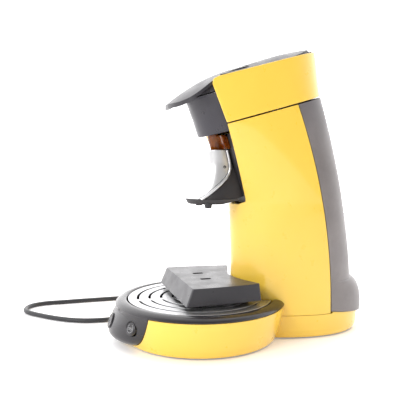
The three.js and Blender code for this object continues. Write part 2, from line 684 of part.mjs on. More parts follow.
// Plan of the spout at height z: a rounded front that flares towards the lip.
function spoutRing(z, out, rear, count = 10) {
  const t = THREE.MathUtils.clamp((z - 157) / 40, 0, 1);
  const flare = (1 - t) ** 1.6;
  const front = 3 - 19.5 * flare - out;
  const half = 19.5 + 8 * flare + out;
  const middle = 20;
  const points = [];
  for (let i = 0; i <= count; i++) {
    const a = Math.PI + (Math.PI * i) / count;
    points.push(new THREE.Vector3(half * Math.cos(a), middle + (middle - front) * Math.sin(a), z));
  }
  const back = Math.min(half * 0.92, 11 + 0.32 * (z - NICHE_Z));
  points.push(new THREE.Vector3(back, rear, z), new THREE.Vector3(-back, rear, z));
  return points;
}

const SPOUT_LEVELS = [156.6, 161, 167, 174, 182, 190, 200, 210];

// Side view of the bright cover: its rear edge runs down, then sweeps forward to the lip.
function coverSide(back) {
  return [[-40, 156.6], [-2 + back, 156.6], [10 + back, 165.5], [20.5 + back, 174], [27.5 + back, 181],
    [31 + back, 190], [27 + back, 210.5], [-40, 210.5]];
}

function spoutCover() {
  const outside = solid(loft(SPOUT_LEVELS.map((z) => spoutRing(z, 0, 60))));
  const inside = solid(loft([150, ...SPOUT_LEVELS.slice(0, -1), 215].map((z) => spoutRing(z, -1.6, 60))));
  return cut(common(outside, solid(across(coverSide(0), -60, 60))), inside);
}

function spoutBody() {
  const rearAt = (z) => (z < 157 ? 37.5 : nicheEdge(z) + 2.4);
  const levels = [SPOUT_Z, 153, 156.2, 156.3, 161, 167, 174, 182, 190, 200, 205];
  const rings = levels.map((z) => {
    const under = z < 156.25 ? 0.3 + 0.42 * (156.2 - z) : 2.1;
    return spoutRing(Math.max(z, 156.6), -under, rearAt(z)).map((p) => p.setZ(z));
  });
  const block = solid(loft(rings));
  const basin = solid(box(-14, 14, 8, 38, 196, 215));
  const tips = [-NOZZLE.x, NOZZLE.x].map((x) => solid(disc(4.6, 140, 156).translate(x, NOZZLE.y, 0)));
  const heel = solid(across([[14, 150], [40, 150], [40, 155]], -40, 40));
  return cut(block, basin, heel, ...tips);
}

function addNozzles() {
  for (const [name, x] of [["nozzle_left", -NOZZLE.x], ["nozzle_right", NOZZLE.x]]) {
    const tip = turned([[1.8, 146.6], [3.6, 146.6], [4.2, 150], [4.2, 155.4], [1.8, 155.4], [1.8, 146.6]], 12);
    add(name, tip.translate(x, NOZZLE.y, 0), BLACK);
  }
}

function collector() {
  const way = [0, -0.2, 1];
  const foot = [0, 21.5, 206.4];
  const tube = placed(turned([[0, 0], [7.6, 0], [8.8, 17], [0, 17]], 20), foot, way);
  const rear = (z) => nicheEdge(z) + 2.8;
  const side = [[20, 210.8], [rear(210.8), 210.8], [rear(226), 226], [15.5, 226]];
  const body = across(side, -26, 26);
  const behind = solid(across([[rear(200), 200], [80, 200], [80, 230], [rear(230), 230]], -40, 40));
  const chute = solid(placed(disc(4.8, -10, 30), foot, way));
  return cut(join(solid(tube), solid(body)), chute, behind, solid(canted(disc(60, -58.6, 0, ROUND))));
}

// ---------------------------------------------------------------- mains cord
const CORD_EXIT = [-46, 152, 12];
const CORD_ROUTE = [
  [-80.5, 161, 6.5], [-93, 161.5, 3.6], [-112, 157, CORD_R], [-134, 144, CORD_R], [-153, 120, CORD_R],
  [-167, 88, CORD_R], [-176, 50, CORD_R], [-181.5, 10, CORD_R], [-184.5, -30, CORD_R], [-186, -70, CORD_R],
  [-186.2, -110, CORD_R], [-185.1, -146, CORD_R], [-185, -164.5, CORD_R], [-179, -182, CORD_R],
  [-168, -191.5, CORD_R], [-153.5, -193.5, CORD_R], [-139.5, -187.5, CORD_R], [-122.5, -172.5, CORD_R],
  [-106, -156.5, CORD_R], [-92, -138, CORD_R], [-83.5, -118, CORD_R], [-81.5, -95, CORD_R],
  [-86, -71, CORD_R], [-93, -46, CORD_R], [-99, -22, CORD_R], [-100.5, 4, CORD_R],
  [-99.5, 31, 3.2], [-97.5, 58, 5], [-97, 80, 9.3],
];
const PLUG_WAY = [0, 0.966, 0.259]; // the plug rests on the rim of its face

const reliefWay = () => new THREE.Vector3(-0.95, 0.24, -0.18).normalize();

function cordHole() {
  return solid(placed(disc(5.2, -20, 20), CORD_EXIT, reliefWay().toArray()));
}

function addCord() {
  const way = reliefWay().toArray();
  const sleeve = [[0, -9], [7.4, -9], [7.4, -6.6], [4.7, -6.6], [4.7, 6.6], [6.2, 6.6], [6.2, 9],
    [3.6, 34], [0, 34]];
  add("strain_relief", placed(turned(sleeve, 12), CORD_EXIT, way), RUBBER);
  add("mains_cord", swept(CORD_ROUTE, CORD_R - 0.1, 46), BLACK);
  const end = CORD_ROUTE.at(-1);
  const grip = [[0, 0.3], [3.7, 0.3], [5.5, 8], [9.5, 12], [11, 22], [11, 30], [18.4, 34], [18.4, 44],
    [0, 44]];
  const pins = [-9.5, 9.5].map((x) => solid(disc(2.4, 43, 63, 10).translate(x, 0, 0)));
  const plug = join(solid(turned(grip, 20)), ...pins);
  add("mains_plug", placed(geometryOf(plug), end, PLUG_WAY), BLACK);
}

// ---------------------------------------------------------------- assembly
add("base_shell", baseShell(), YELLOW);
add("base_plate", basePlate(), CHARCOAL);
addFeet();
addScrews();
add("rim_panel", rimAndPanel(), GLOSS);
add("control_board", controlBoard(), BOARD);
addButtons();
add("drip_tray", dripTray(), CHARCOAL);
add("drip_plate", dripPlate(), STEEL);
add("cup_stand", cupStand(), DARK);
add("tower_shell", towerShell(), YELLOW);
add("niche_wall", nicheWall(), CHARCOAL);
add("inner_frame", innerFrame(), WHITE);
addPump();
addBoiler();
addHoses();
add("circuit_board", circuitBoard(), BOARD);
add("water_tank", waterTank(), SMOKE);
addValve();
addFloat();
add("head_shell", headShell(), YELLOW);
add("brew_chamber", brewChamber(), DARK);
addBrewParts();
add("lid", lid(), DARK);
add("rear_cap", rearCap(), DARK);
add("lid_hinge_pin", rod(1.5, -26.5, 26.5, LID_HINGE.y, LID_HINGE.z, 12), STEEL);
add("lever", lever(), DARK);
add("lever_pin", rod(1, -29, 29, LEVER_PIN.y, LEVER_PIN.z, 12), STEEL);
add("collector", collector(), AMBER);
add("spout_cover", spoutCover(), SILVER);
add("spout_body", spoutBody(), CHARCOAL);
addNozzles();
addCord();

machine.position.y = -FOOTPRINT_Y;
export default machine;
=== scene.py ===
# Looks of the pod coffee machine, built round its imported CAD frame.
# Shapes are worked out in millimetres from the axis of the round tray drum, front towards -Y,
# and moved to the row frame, in metres, when a mesh is made.
import json
import math

import bmesh
import bpy
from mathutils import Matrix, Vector


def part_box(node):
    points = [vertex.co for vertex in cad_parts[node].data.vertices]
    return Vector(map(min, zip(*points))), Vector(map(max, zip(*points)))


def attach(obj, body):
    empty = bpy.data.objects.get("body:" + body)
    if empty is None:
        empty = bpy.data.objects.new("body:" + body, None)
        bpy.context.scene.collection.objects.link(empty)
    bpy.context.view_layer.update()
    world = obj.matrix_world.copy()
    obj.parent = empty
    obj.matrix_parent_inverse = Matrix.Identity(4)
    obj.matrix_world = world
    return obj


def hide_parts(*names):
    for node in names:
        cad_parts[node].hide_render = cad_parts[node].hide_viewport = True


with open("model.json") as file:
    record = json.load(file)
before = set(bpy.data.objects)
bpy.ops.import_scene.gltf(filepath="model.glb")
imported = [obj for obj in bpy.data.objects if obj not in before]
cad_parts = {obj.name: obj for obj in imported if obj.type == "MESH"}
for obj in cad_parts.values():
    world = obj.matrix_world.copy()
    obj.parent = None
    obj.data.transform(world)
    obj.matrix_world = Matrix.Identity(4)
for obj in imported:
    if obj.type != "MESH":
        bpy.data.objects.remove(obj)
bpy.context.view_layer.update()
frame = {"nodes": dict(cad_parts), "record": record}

# ---------------------------------------------------------------- driving dimensions
PLATE_R = 81
FOOTPRINT_Y = -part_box("drip_plate")[0].y * 1000 - PLATE_R  # drum axis to the middle of the footprint
WALL = 2.5
GAP = 0.4
SEAM_Z = 27
DRUM_TOP = 39.6
RIM_R = 95
RIM_Z = 46
PLATE_Z = 43.6
PLATE_T = 1.6
TOWER_A = 50
TOWER_CY = 125
TOWER_NOSE = 38
NICHE_Z = 150
CANT = math.radians(15.5)
PARTING_Y, PARTING_Z = 16.5, 237.4
HEAD_H = 51
CHAMBER_Y, CHAMBER_Z = 25.3, 290.9
CORD_R = 3


def row_frame(point):
    x, y, z = point
    return Vector((x, y - FOOTPRINT_Y, z)) / 1000


# ---------------------------------------------------------------- camera
VIEW_AZIMUTH = math.radians(74)
VIEW_DISTANCE = 648
VIEW_HEIGHT = 203
VIEW_PITCH = math.radians(4.3)


def add_camera():
    data = bpy.data.cameras.new("camera")
    data.lens = 52.2
    data.sensor_width = 36
    camera = bpy.data.objects.new("camera", data)
    bpy.context.scene.collection.objects.link(camera)
    away = Vector((math.sin(VIEW_AZIMUTH), -math.cos(VIEW_AZIMUTH), 0))
    place = away * VIEW_DISTANCE
    camera.location = row_frame((place.x, place.y, VIEW_HEIGHT))
    look = -away * math.cos(VIEW_PITCH) - Vector((0, 0, math.sin(VIEW_PITCH)))
    camera.rotation_mode = "QUATERNION"
    camera.rotation_quaternion = look.to_track_quat("-Z", "Y")
    bpy.context.scene.camera = camera


# ---------------------------------------------------------------- meshes
class Shape:
    """Points, in millimetres, and faces that become one mesh."""

    def __init__(self):
        self.points = []
        self.faces = []

    def grid(self, rows, closed=False, caps=False):
        first = len(self.points)
        wide = len(rows[0])
        for row in rows:
            self.points.extend(row)
        across = wide if closed else wide - 1
        for i in range(len(rows) - 1):
            for j in range(across):
                a = first + i * wide + j
                b = first + i * wide + (j + 1) % wide
                self.faces.append((a, b, b + wide, a + wide))
        if caps:
            last = first + (len(rows) - 1) * wide
            self.faces.append(tuple(range(first + wide - 1, first - 1, -1)))
            self.faces.append(tuple(range(last, last + wide)))
        return self

    def object(self, name, centre=None):
        """`centre` is a point inside an open skin, which its faces are turned away from."""
        made = bmesh.new()
        corners = [made.verts.new(row_frame(p)) for p in self.points]
        for face in self.faces:
            made.faces.new([corners[i] for i in face])
        bmesh.ops.remove_doubles(made, verts=made.verts, dist=1e-5)
        bmesh.ops.dissolve_degenerate(made, edges=made.edges, dist=1e-6)
        bmesh.ops.recalc_face_normals(made, faces=made.faces)
        if centre is not None:
            inside = row_frame(centre)
            lean = sum((f.calc_center_median() - inside).dot(f.normal) * f.calc_area() for f in made.faces)
            if lean < 0:
                bmesh.ops.reverse_faces(made, faces=made.faces)
        mesh = bpy.data.meshes.new(name)
        made.to_mesh(mesh)
        made.free()
        obj = bpy.data.objects.new(name, mesh)
        bpy.context.scene.collection.objects.link(obj)
        return obj


def solid(name, rings):
    """A closed solid through rings of points, capped at both ends."""
    return Shape().grid(rings, closed=True, caps=True).object(name)


def baked(obj):
    """A mesh of the object as its modifiers leave it."""
    bpy.context.view_layer.update()
    return bpy.data.meshes.new_from_object(obj.evaluated_get(bpy.context.evaluated_depsgraph_get()))


def settle(obj, sharp=38):
    """Applies the modifiers, then shades smooth up to `sharp` degrees."""
    mesh = baked(obj)
    obj.modifiers.clear()
    if obj.type == "MESH":
        obj.data = mesh
    else:
        name = obj.name
        mesh.transform(obj.matrix_world)
        bpy.data.objects.remove(obj)
        obj = bpy.data.objects.new(name, mesh)
        bpy.context.scene.collection.objects.link(obj)
    mesh.polygons.foreach_set("use_smooth", [True] * len(mesh.polygons))
    mesh.set_sharp_from_angle(angle=math.radians(sharp))
    weigh = obj.modifiers.new("weigh", "WEIGHTED_NORMAL")
    weigh.keep_sharp = True
    mesh = baked(obj)
    obj.modifiers.clear()
    obj.data = mesh
    return obj


def thicken(obj, wall):
    modifier = obj.modifiers.new("thicken", "SOLIDIFY")
    modifier.thickness = wall / 1000
    modifier.offset = -1
    modifier.use_even_offset = True
    return obj


def soften(obj, width, segments=3, angle=40):
    modifier = obj.modifiers.new("soften", "BEVEL")
    modifier.width = width / 1000
    modifier.segments = segments
    modifier.limit_method = "ANGLE"
    modifier.angle_limit = math.radians(angle)
    modifier.use_clamp_overlap = True
    return obj


def carve(obj, *tools, operation="DIFFERENCE"):
    for tool in tools:
        modifier = obj.modifiers.new("carve", "BOOLEAN")
        modifier.operation = operation
        modifier.solver = "EXACT"
        modifier.object = tool
    mesh = baked(obj)
    obj.modifiers.clear()
    obj.data = mesh
    for tool in tools:
        bpy.data.objects.remove(tool)
    return obj


def turned(name, profile, segments=96, at=(0, 0, 0), along=(0, 0, 1)):
    """A turned solid: profile of (radius, height) points, placed at `at` with +Z turned to `along`."""
    turn = Vector((0, 0, 1)).rotation_difference(Vector(along)).to_matrix()
    rows = []
    for radius, height in profile:
        row = []
        for i in range(segments):
            t = 2 * math.pi * i / segments
            point = turn @ Vector((radius * math.cos(t), radius * math.sin(t), height))
            row.append(tuple(point + Vector(at)))
        rows.append(row)
    closed_ring = profile[0] == profile[-1]
    return Shape().grid(rows, closed=True, caps=not closed_ring).object(name)


def rounded(points, rounds=2):
    """Cuts the corners of an open line, keeping its ends."""
    for _ in range(rounds):
        made = [points[0]]
        for a, b in zip(points, points[1:]):
            made.append(tuple(p * 0.75 + q * 0.25 for p, q in zip(a, b)))
            made.append(tuple(p * 0.25 + q * 0.75 for p, q in zip(a, b)))
        made.append(points[-1])
        points = made
    return points


def smooth_line(points, steps=6):
    """A Catmull-Rom line through the points."""
    made = []
    for i in range(len(points) - 1):
        a = Vector(points[max(i - 1, 0)])
        b = Vector(points[i])
        c = Vector(points[i + 1])
        d = Vector(points[min(i + 2, len(points) - 1)])
        for k in range(steps):
            t = k / steps
            made.append(tuple(0.5 * (2 * b + (c - a) * t + (2 * a - 5 * b + 4 * c - d) * t * t
                                     + (3 * b - 3 * c + d - a) * t ** 3)))
    made.append(tuple(points[-1]))
    return made


def resampled(line, count):
    """The same line with `count` + 1 evenly spaced points."""
    line = [Vector(p) for p in line]
    lengths = [0.0]
    for a, b in zip(line, line[1:]):
        lengths.append(lengths[-1] + (b - a).length)
    made = []
    k = 0
    for i in range(count + 1):
        want = lengths[-1] * i / count
        while k < len(line) - 2 and lengths[k + 1] < want:
            k += 1
        span = max(lengths[k + 1] - lengths[k], 1e-9)
        made.append(tuple(line[k].lerp(line[k + 1], (want - lengths[k]) / span)))
    return made


def flat_sheet(name, outlines, z, thickness, edge):
    """A flat plate: the first outline with the others as holes, its edges rounded by `edge`."""
    data = bpy.data.curves.new(name, "CURVE")
    data.dimensions = "2D"
    data.fill_mode = "BOTH"
    data.extrude = (thickness / 2 - edge) / 1000
    data.bevel_depth = edge / 1000
    data.bevel_resolution = 2
    data.offset = -edge / 1000
    for outline in outlines:
        spline = data.splines.new("POLY")
        spline.points.add(len(outline) - 1)
        for point, (x, y) in zip(spline.points, outline):
            place = row_frame((x, y, 0))
            point.co = (place.x, place.y, 0, 1)
        spline.use_cyclic_u = True
    obj = bpy.data.objects.new(name, data)
    obj.location.z = (z + thickness / 2) / 1000
    bpy.context.scene.collection.objects.link(obj)
    return obj


def tube(name, points, radius, closed=False):
    """A round wire through points given in millimetres."""
    data = bpy.data.curves.new(name, "CURVE")
    data.dimensions = "3D"
    data.bevel_depth = radius / 1000
    data.bevel_resolution = 3
    data.use_fill_caps = True
    spline = data.splines.new("POLY")
    spline.points.add(len(points) - 1)
    for point, place in zip(spline.points, points):
        point.co = (*row_frame(place), 1)
    spline.use_cyclic_u = closed
    obj = bpy.data.objects.new(name, data)
    bpy.context.scene.collection.objects.link(obj)
    return obj


def joined(name, *objects):
    """One mesh object from several, whose modifiers are applied."""
    made = bmesh.new()
    for obj in objects:
        mesh = baked(obj)
        mesh.transform(obj.matrix_world)
        made.from_mesh(mesh)
    for obj in objects:
        bpy.data.objects.remove(obj)
    mesh = bpy.data.meshes.new(name)
    made.to_mesh(mesh)
    made.free()
    obj = bpy.data.objects.new(name, mesh)
    bpy.context.scene.collection.objects.link(obj)
    return obj


# ---------------------------------------------------------------- materials
class Nodes:
    """A principled material and short ways to add nodes to it."""

    def __init__(self, name):
        self.material = bpy.data.materials.new(name)
        self.material.use_nodes = True
        self.tree = self.material.node_tree
        self.shader = self.tree.nodes["Principled BSDF"]
        self.place = self.node("ShaderNodeTexCoord").outputs["Object"]

    def node(self, kind, **inputs):
        made = self.tree.nodes.new(kind)
        for key, value in inputs.items():
            made.inputs[key.replace("_", " ")].default_value = value
        return made

    def link(self, source, target):
        self.tree.links.new(source, target)

    def noise(self, scale, detail=3, roughness=0.5):
        made = self.node("ShaderNodeTexNoise", Scale=scale, Detail=detail, Roughness=roughness)
        self.link(self.place, made.inputs["Vector"])
        return made.outputs["Fac"]

    def ramp(self, factor, stops):
        made = self.tree.nodes.new("ShaderNodeValToRGB")
        ramp = made.color_ramp
        while len(ramp.elements) < len(stops):
            ramp.elements.new(0.5)
        for element, (place, colour) in zip(ramp.elements, stops):
            element.position = place
            element.color = (*colour, 1)
        self.link(factor, made.inputs["Fac"])
        return made.outputs["Color"]

    def spread(self, factor, low, high, start=0.3, end=0.7):
        made = self.node("ShaderNodeMapRange")
        for socket, value in zip(made.inputs[1:5], (start, end, low, high)):
            socket.default_value = value
        self.link(factor, made.inputs["Value"])
        return made.outputs["Result"]

    def bump(self, height, strength, distance):
        made = self.node("ShaderNodeBump", Strength=strength, Distance=distance)
        if self.shader.inputs["Normal"].links:
            self.link(self.shader.inputs["Normal"].links[0].from_socket, made.inputs["Normal"])
        self.link(height, made.inputs["Height"])
        self.link(made.outputs["Normal"], self.shader.inputs["Normal"])


def shade(colour, factor):
    return tuple(c * factor for c in colour)


def moulded(name, colour, roughness, grain=0.1, blotch=0.08, coat=0.0):
    """Moulded plastic: faint unevenness of tone and gloss, and a fine surface grain."""
    m = Nodes(name)
    tone = m.ramp(m.noise(18, 4), [(0.3, shade(colour, 1 - blotch)), (0.7, shade(colour, 1 + blotch))])
    m.link(tone, m.shader.inputs["Base Color"])
    gloss = m.spread(m.noise(55, 5, 0.6), roughness * 0.75, roughness * 1.25)
    m.link(gloss, m.shader.inputs["Roughness"])
    m.bump(m.noise(2200, 2), grain, 0.0001)
    m.bump(m.noise(26, 2), 0.02, 0.001)
    m.shader.inputs["IOR"].default_value = 1.5
    m.shader.inputs["Coat Weight"].default_value = coat
    m.shader.inputs["Coat Roughness"].default_value = 0.06
    return m.material


def lacquer(name, colour, deep):
    """High-gloss coloured casing with a clear coat and a hint of orange peel."""
    m = Nodes(name)
    tone = m.ramp(m.noise(9, 3), [(0.25, deep), (0.75, colour)])
    m.link(tone, m.shader.inputs["Base Color"])
    m.link(m.spread(m.noise(70, 5, 0.6), 0.26, 0.38), m.shader.inputs["Roughness"])
    m.bump(m.noise(240, 2), 0.035, 0.0004)
    m.shader.inputs["Coat Weight"].default_value = 0.6
    m.shader.inputs["Coat Roughness"].default_value = 0.05
    return m.material


def steel(name, colour, roughness):
    """Steel turned or brushed in rings round the drum's axis."""
    m = Nodes(name)
    centre = row_frame((0, 0, 0))
    shift = m.node("ShaderNodeVectorMath")
    shift.operation = "SUBTRACT"
    shift.inputs[1].default_value = centre
    m.link(m.place, shift.inputs[0])
    length = m.node("ShaderNodeVectorMath")
    length.operation = "LENGTH"
    m.link(shift.outputs[0], length.inputs[0])
    wave = m.node("ShaderNodeTexNoise", Scale=2600, Detail=2)
    wave.noise_dimensions = "1D"
    m.link(length.outputs["Value"], wave.inputs["W"])
    m.link(m.spread(wave.outputs["Fac"], roughness * 0.7, roughness * 1.35), m.shader.inputs["Roughness"])
    tone = m.ramp(m.noise(35, 3), [(0.3, shade(colour, 0.93)), (0.7, colour)])
    m.link(tone, m.shader.inputs["Base Color"])
    m.bump(wave.outputs["Fac"], 0.08, 0.0002)
    m.shader.inputs["Metallic"].default_value = 1
    return m.material


def frosted(name, colour):
    """Frosted translucent tank plastic, clouded by limescale inside, and tinted by height: darker towards the
    top, a little lighter near the bottom.
    """
    m = Nodes(name)
    tones = [(0.3, shade(colour, 0.8)), (0.5, colour), (0.72, shade(colour, 1.22))]
    cloud = m.ramp(m.noise(14, 6, 0.65), tones)
    axes = m.node("ShaderNodeSeparateXYZ")
    m.link(m.place, axes.inputs[0])
    # tint by height: darker towards the top, a little lighter near the bottom
    heights = [(0.06, (1.05, 1.04, 1.04)), (0.2, (0.98, 0.96, 0.95)), (0.26, (0.66, 0.66, 0.69))]
    depth = m.ramp(axes.outputs["Z"], heights)
    mix = m.node("ShaderNodeMixRGB")
    mix.blend_type = "MULTIPLY"
    mix.inputs["Fac"].default_value = 1
    m.link(cloud, mix.inputs["Color1"])
    m.link(depth, mix.inputs["Color2"])
    m.link(mix.outputs["Color"], m.shader.inputs["Base Color"])
    m.link(m.spread(m.noise(40, 5), 0.3, 0.44), m.shader.inputs["Roughness"])
    m.bump(m.noise(1500, 2), 0.12, 0.0001)
    m.shader.inputs["Transmission Weight"].default_value = 0.1
    m.shader.inputs["IOR"].default_value = 1.45
    return m.material


def amber(name):
    """Tinted see-through plastic, stained darker in places."""
    m = Nodes(name)
    tone = m.ramp(m.noise(60, 3), [(0.35, (0.16, 0.026, 0.002)), (0.65, (0.42, 0.12, 0.008))])
    m.link(tone, m.shader.inputs["Base Color"])
    m.link(m.spread(m.noise(90, 3), 0.08, 0.16), m.shader.inputs["Roughness"])
    m.bump(m.noise(400, 2), 0.04, 0.0002)
    m.shader.inputs["Transmission Weight"].default_value = 0.45
    m.shader.inputs["IOR"].default_value = 1.38
    return m.material


def bright(name):
    """Silver-coated plastic, polished, with faint smears."""
    m = Nodes(name)
    tone = m.ramp(m.noise(40, 4), [(0.3, (0.72, 0.72, 0.73)), (0.7, (0.8, 0.8, 0.8))])
    m.link(tone, m.shader.inputs["Base Color"])
    m.link(m.spread(m.noise(120, 5, 0.7), 0.27, 0.36), m.shader.inputs["Roughness"])
    m.bump(m.noise(300, 3), 0.015, 0.0003)
    m.shader.inputs["Metallic"].default_value = 0.75
    return m.material


def laminate(name):
    """Green circuit laminate with a copper weave under the mask."""
    m = Nodes(name)
    tone = m.ramp(m.noise(160, 2), [(0.45, (0.01, 0.08, 0.03)), (0.55, (0.03, 0.16, 0.06))])
    m.link(tone, m.shader.inputs["Base Color"])
    m.link(m.spread(m.noise(300), 0.35, 0.6), m.shader.inputs["Roughness"])
    return m.material


YELLOW = lacquer("yellow_casing", (0.98, 0.66, 0.085), (0.96, 0.61, 0.065))
DARK = moulded("dark_plastic", (0.036, 0.034, 0.039), 0.33, grain=0.16)
GLOSS = moulded("gloss_panel", (0.02, 0.018, 0.021), 0.22, grain=0.03, coat=0.08)
CHARCOAL = moulded("charcoal_plastic", (0.035, 0.032, 0.033), 0.42, grain=0.2)
CHAMBER = moulded("chamber_plastic", (0.03, 0.027, 0.036), 0.33, grain=0.14, blotch=0.05)
STEEL = steel("steel", (0.62, 0.62, 0.63), 0.36)
BRIGHT = bright("bright_cover")
AMBER = amber("amber_plastic")
SMOKE = frosted("smoke_plastic", (0.235, 0.215, 0.21))
RUBBER = moulded("rubber", (0.022, 0.022, 0.024), 0.75, grain=0.3, blotch=0.15)
BLACK = moulded("black_plastic", (0.018, 0.018, 0.02), 0.45, grain=0.15, blotch=0.12)
CORD = moulded("cord_sheath", (0.03, 0.03, 0.033), 0.42, grain=0.12, blotch=0.1)
WHITE = moulded("white_plastic", (0.78, 0.76, 0.72), 0.5)
BOARD = laminate("circuit_board")
MARK = moulded("icon_ink", (0.45, 0.45, 0.46), 0.4, blotch=0.03)

BY_SLOT = {
    "yellow_casing": YELLOW, "dark_plastic": DARK, "gloss_panel": GLOSS, "charcoal_plastic": CHARCOAL,
    "steel": STEEL, "bright_cover": BRIGHT, "amber_plastic": AMBER, "smoke_plastic": SMOKE,
    "rubber": RUBBER, "black_plastic": BLACK, "white_plastic": WHITE, "circuit_board": BOARD,
}


def paint(obj, material):
    obj.data.materials.clear()
    obj.data.materials.append(material)


def piece(obj, body, slot, *nodes, material=None, sharp=38):
    """Finishes a piece: shading, material, the body that it rides on and the CAD nodes it stands for."""
    obj = settle(obj, sharp)
    paint(obj, material or BY_SLOT[slot])
    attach(obj, body)
    if nodes:
        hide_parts(*nodes)
    return obj


def dress_cad():
    for part in frame["record"]["subparts"]:
        obj = frame["nodes"][part["node"]]
        paint(obj, BY_SLOT[part["material_slot"]])
        obj.data.polygons.foreach_set("use_smooth", [True] * len(obj.data.polygons))
        obj.data.set_sharp_from_angle(angle=math.radians(32))


# ---------------------------------------------------------------- outlines
def tank_rear(z):
    return 183.5 - 0.00663 * max(0, min(z, 272.6) - 45) ** 1.63 - 0.13 * max(0, z - 272.6)


def tank_bulge(z):
    return 15.3 * math.sqrt(max(0, 1 - ((z - 31) / 31) ** 2)) if z < 62 else 0


def tank_front(z):
    return 139 - 0.00085 * max(0, z - 30) ** 2


def tower_section(z):
    rise = max(0, (z - NICHE_Z) / (PARTING_Z - NICHE_Z))
    low = min(rise, 1)
    lean = low ** 1.25 + 0.6 * max(0, rise - 1)
    lip = 2.6 * min(1, max(0, (z - 80) / 70)) ** 1.5
    return {"a": TOWER_A + 2 * low, "middle": TOWER_CY - 38 * lean, "nose": TOWER_NOSE - lip - 74.4 * lean,
            "rear": tank_rear(z), "power": 2 + 0.4 * low}


def tank_section(z):
    section = tower_section(z)
    section["rear"] += tank_bulge(z)
    return section


def on_egg(section, angle, inset=0):
    s, c = math.sin(angle), math.cos(angle)
    front = section["middle"] - section["nose"] - inset
    back = section["rear"] - section["middle"] - inset
    power = 2 / section["power"]
    x = (section["a"] - inset) * math.copysign(abs(c) ** power, c)
    y = section["middle"] + (front if s < 0 else back) * math.copysign(abs(s) ** power, s)
    return x, y


def angle_at(section, y):
    """The angle, on the +X side, at which the egg passes y."""
    middle = section["middle"]
    span = middle - section["nose"] if y < middle else section["rear"] - middle
    s = max(-1, min(1, (y - middle) / span))
    return math.asin(math.copysign(abs(s) ** (section["power"] / 2), s))


def head_line(y, up=0):
    return PARTING_Z + up + math.tan(CANT) * (y - PARTING_Y)


def niche_edge(z):
    """Front edge of the tower's flanks: a round inner corner, then a straight lean forward."""
    if z <= NICHE_Z:
        return 40
    if z < 153.95:
        return 40 + 6 * math.sqrt(max(0, 1 - ((156 - z) / 6) ** 2))
    top = PARTING_Z - 0.8
    lean = 44 - (44 - PARTING_Y) * (top - NICHE_Z) / (PARTING_Z - NICHE_Z)
    return 45.64 + (lean - 45.64) * (z - 153.95) / (top - 153.95)


def skin_rows(levels, height, section, start, end, columns):
    """Rows on the egg-shaped skin. height(y, level) may slope; start and end give angles at z."""
    rows = []
    for level in levels:
        row = []
        for j in range(columns + 1):
            z = height(TOWER_CY, level)
            for _ in range(10):
                angle = start(z) + (end(z) - start(z)) * j / columns
                x, y = on_egg(section(z), angle)
                z = height(y, level)
            row.append((x, y, z))
        rows.append(row)
    return rows


def mirrored(rows):
    return [[(-x, y, z) for x, y, z in reversed(row)] for row in rows]


# ---------------------------------------------------------------- tower, head, tank
def add_tower():
    low = SEAM_Z + GAP
    split = 14
    steps = 34

    def height(y, level):
        if level <= split:
            return low + (NICHE_Z - low) * level / split
        rise = ((level - split) / (steps - split)) ** 1.15
        return NICHE_Z + (head_line(y, -0.8) - NICHE_Z) * rise

    def front(z):
        return angle_at(tower_section(z), niche_edge(z))

    def rear(z):
        return angle_at(tower_section(z), tank_front(z) - GAP)

    flank = skin_rows(range(steps + 1), height, tower_section, front, rear, 40)
    nose = skin_rows(range(split + 1), height, tower_section, lambda z: -math.pi - front(z), front, 14)
    shape = Shape().grid(flank).grid(mirrored(flank)).grid(nose)
    skin = shape.object("tower_skin", centre=(0, 90, 140))
    soften(thicken(skin, WALL), 0.8)
    floor_line = [on_egg(tower_section(NICHE_Z), -math.pi / 2 + t, 1.3)
                  for t in (math.radians(6 * k - 36) for k in range(13))]
    heights = (NICHE_Z - WALL, NICHE_Z - 0.05)
    floor = solid("niche_floor", [[(x, y, z) for x, y in floor_line] for z in heights])
    piece(joined("tower_skin_with_floor", skin, floor), "machine", "yellow_casing", "tower_shell")


def head_front(z):
    return PARTING_Y - 0.4 * (z - PARTING_Z)


def add_head():
    radius = 6.5
    corner = head_front(281)

    def top(y):
        into = max(0, corner + radius - y)
        return head_line(y, HEAD_H) - (radius - math.sqrt(max(0, radius ** 2 - min(into, radius) ** 2)))

    def height(y, level):
        return head_line(y, 0.8) + (top(y) - head_line(y, 0.8)) * level / 12

    def front(z):
        return angle_at(tower_section(z), head_front(z))

    rows = skin_rows(range(13), height, tower_section, front, lambda z: math.pi - front(z), 110)
    head = Shape().grid(rows).object("head_skin", centre=(0, 80, 280))
    soften(thicken(head, WALL), 0.8)
    piece(head, "machine", "yellow_casing", "head_shell")


def foot_top(y):
    return SEAM_Z if y < 139 else 29 - 0.14 * (y - 139)


def add_tank():
    bottom, top = 0, 999
    levels = [bottom, 33, 38, 43, 48, 52, 55, 57.5, 59.4, 60.8, 61.6, 62, 62.4, 64, 70]
    levels += [*range(80, 241, 10), 248, top]

    def height(y, level):
        if level == bottom:
            return foot_top(y) + 0.6
        return head_line(y, -0.8) if level == top else level

    def front(z):
        return angle_at(tank_section(z), tank_front(z) + GAP)

    rows = skin_rows(levels, height, tank_section, front, lambda z: math.pi - front(z), 72)
    for row in rows:
        (x0, y0, z0), (x1, _, _) = row[-1], row[0]
        row.extend((x0 + (x1 - x0) * k / 12, y0, z0) for k in range(1, 12))
    body = Shape().grid(rows, closed=True)
    body.faces.append(tuple(range(len(rows[0]))))
    tank = body.object("tank_shell", centre=(0, 140, 150))
    soften(thicken(tank, WALL), 1.2, 4)
    piece(tank, "tank", "smoke_plastic", "water_tank")


# ---------------------------------------------------------------- foot and drum
def drum_radius(z):
    return 83.8 + 0.4 * z - 0.0033 * z * z


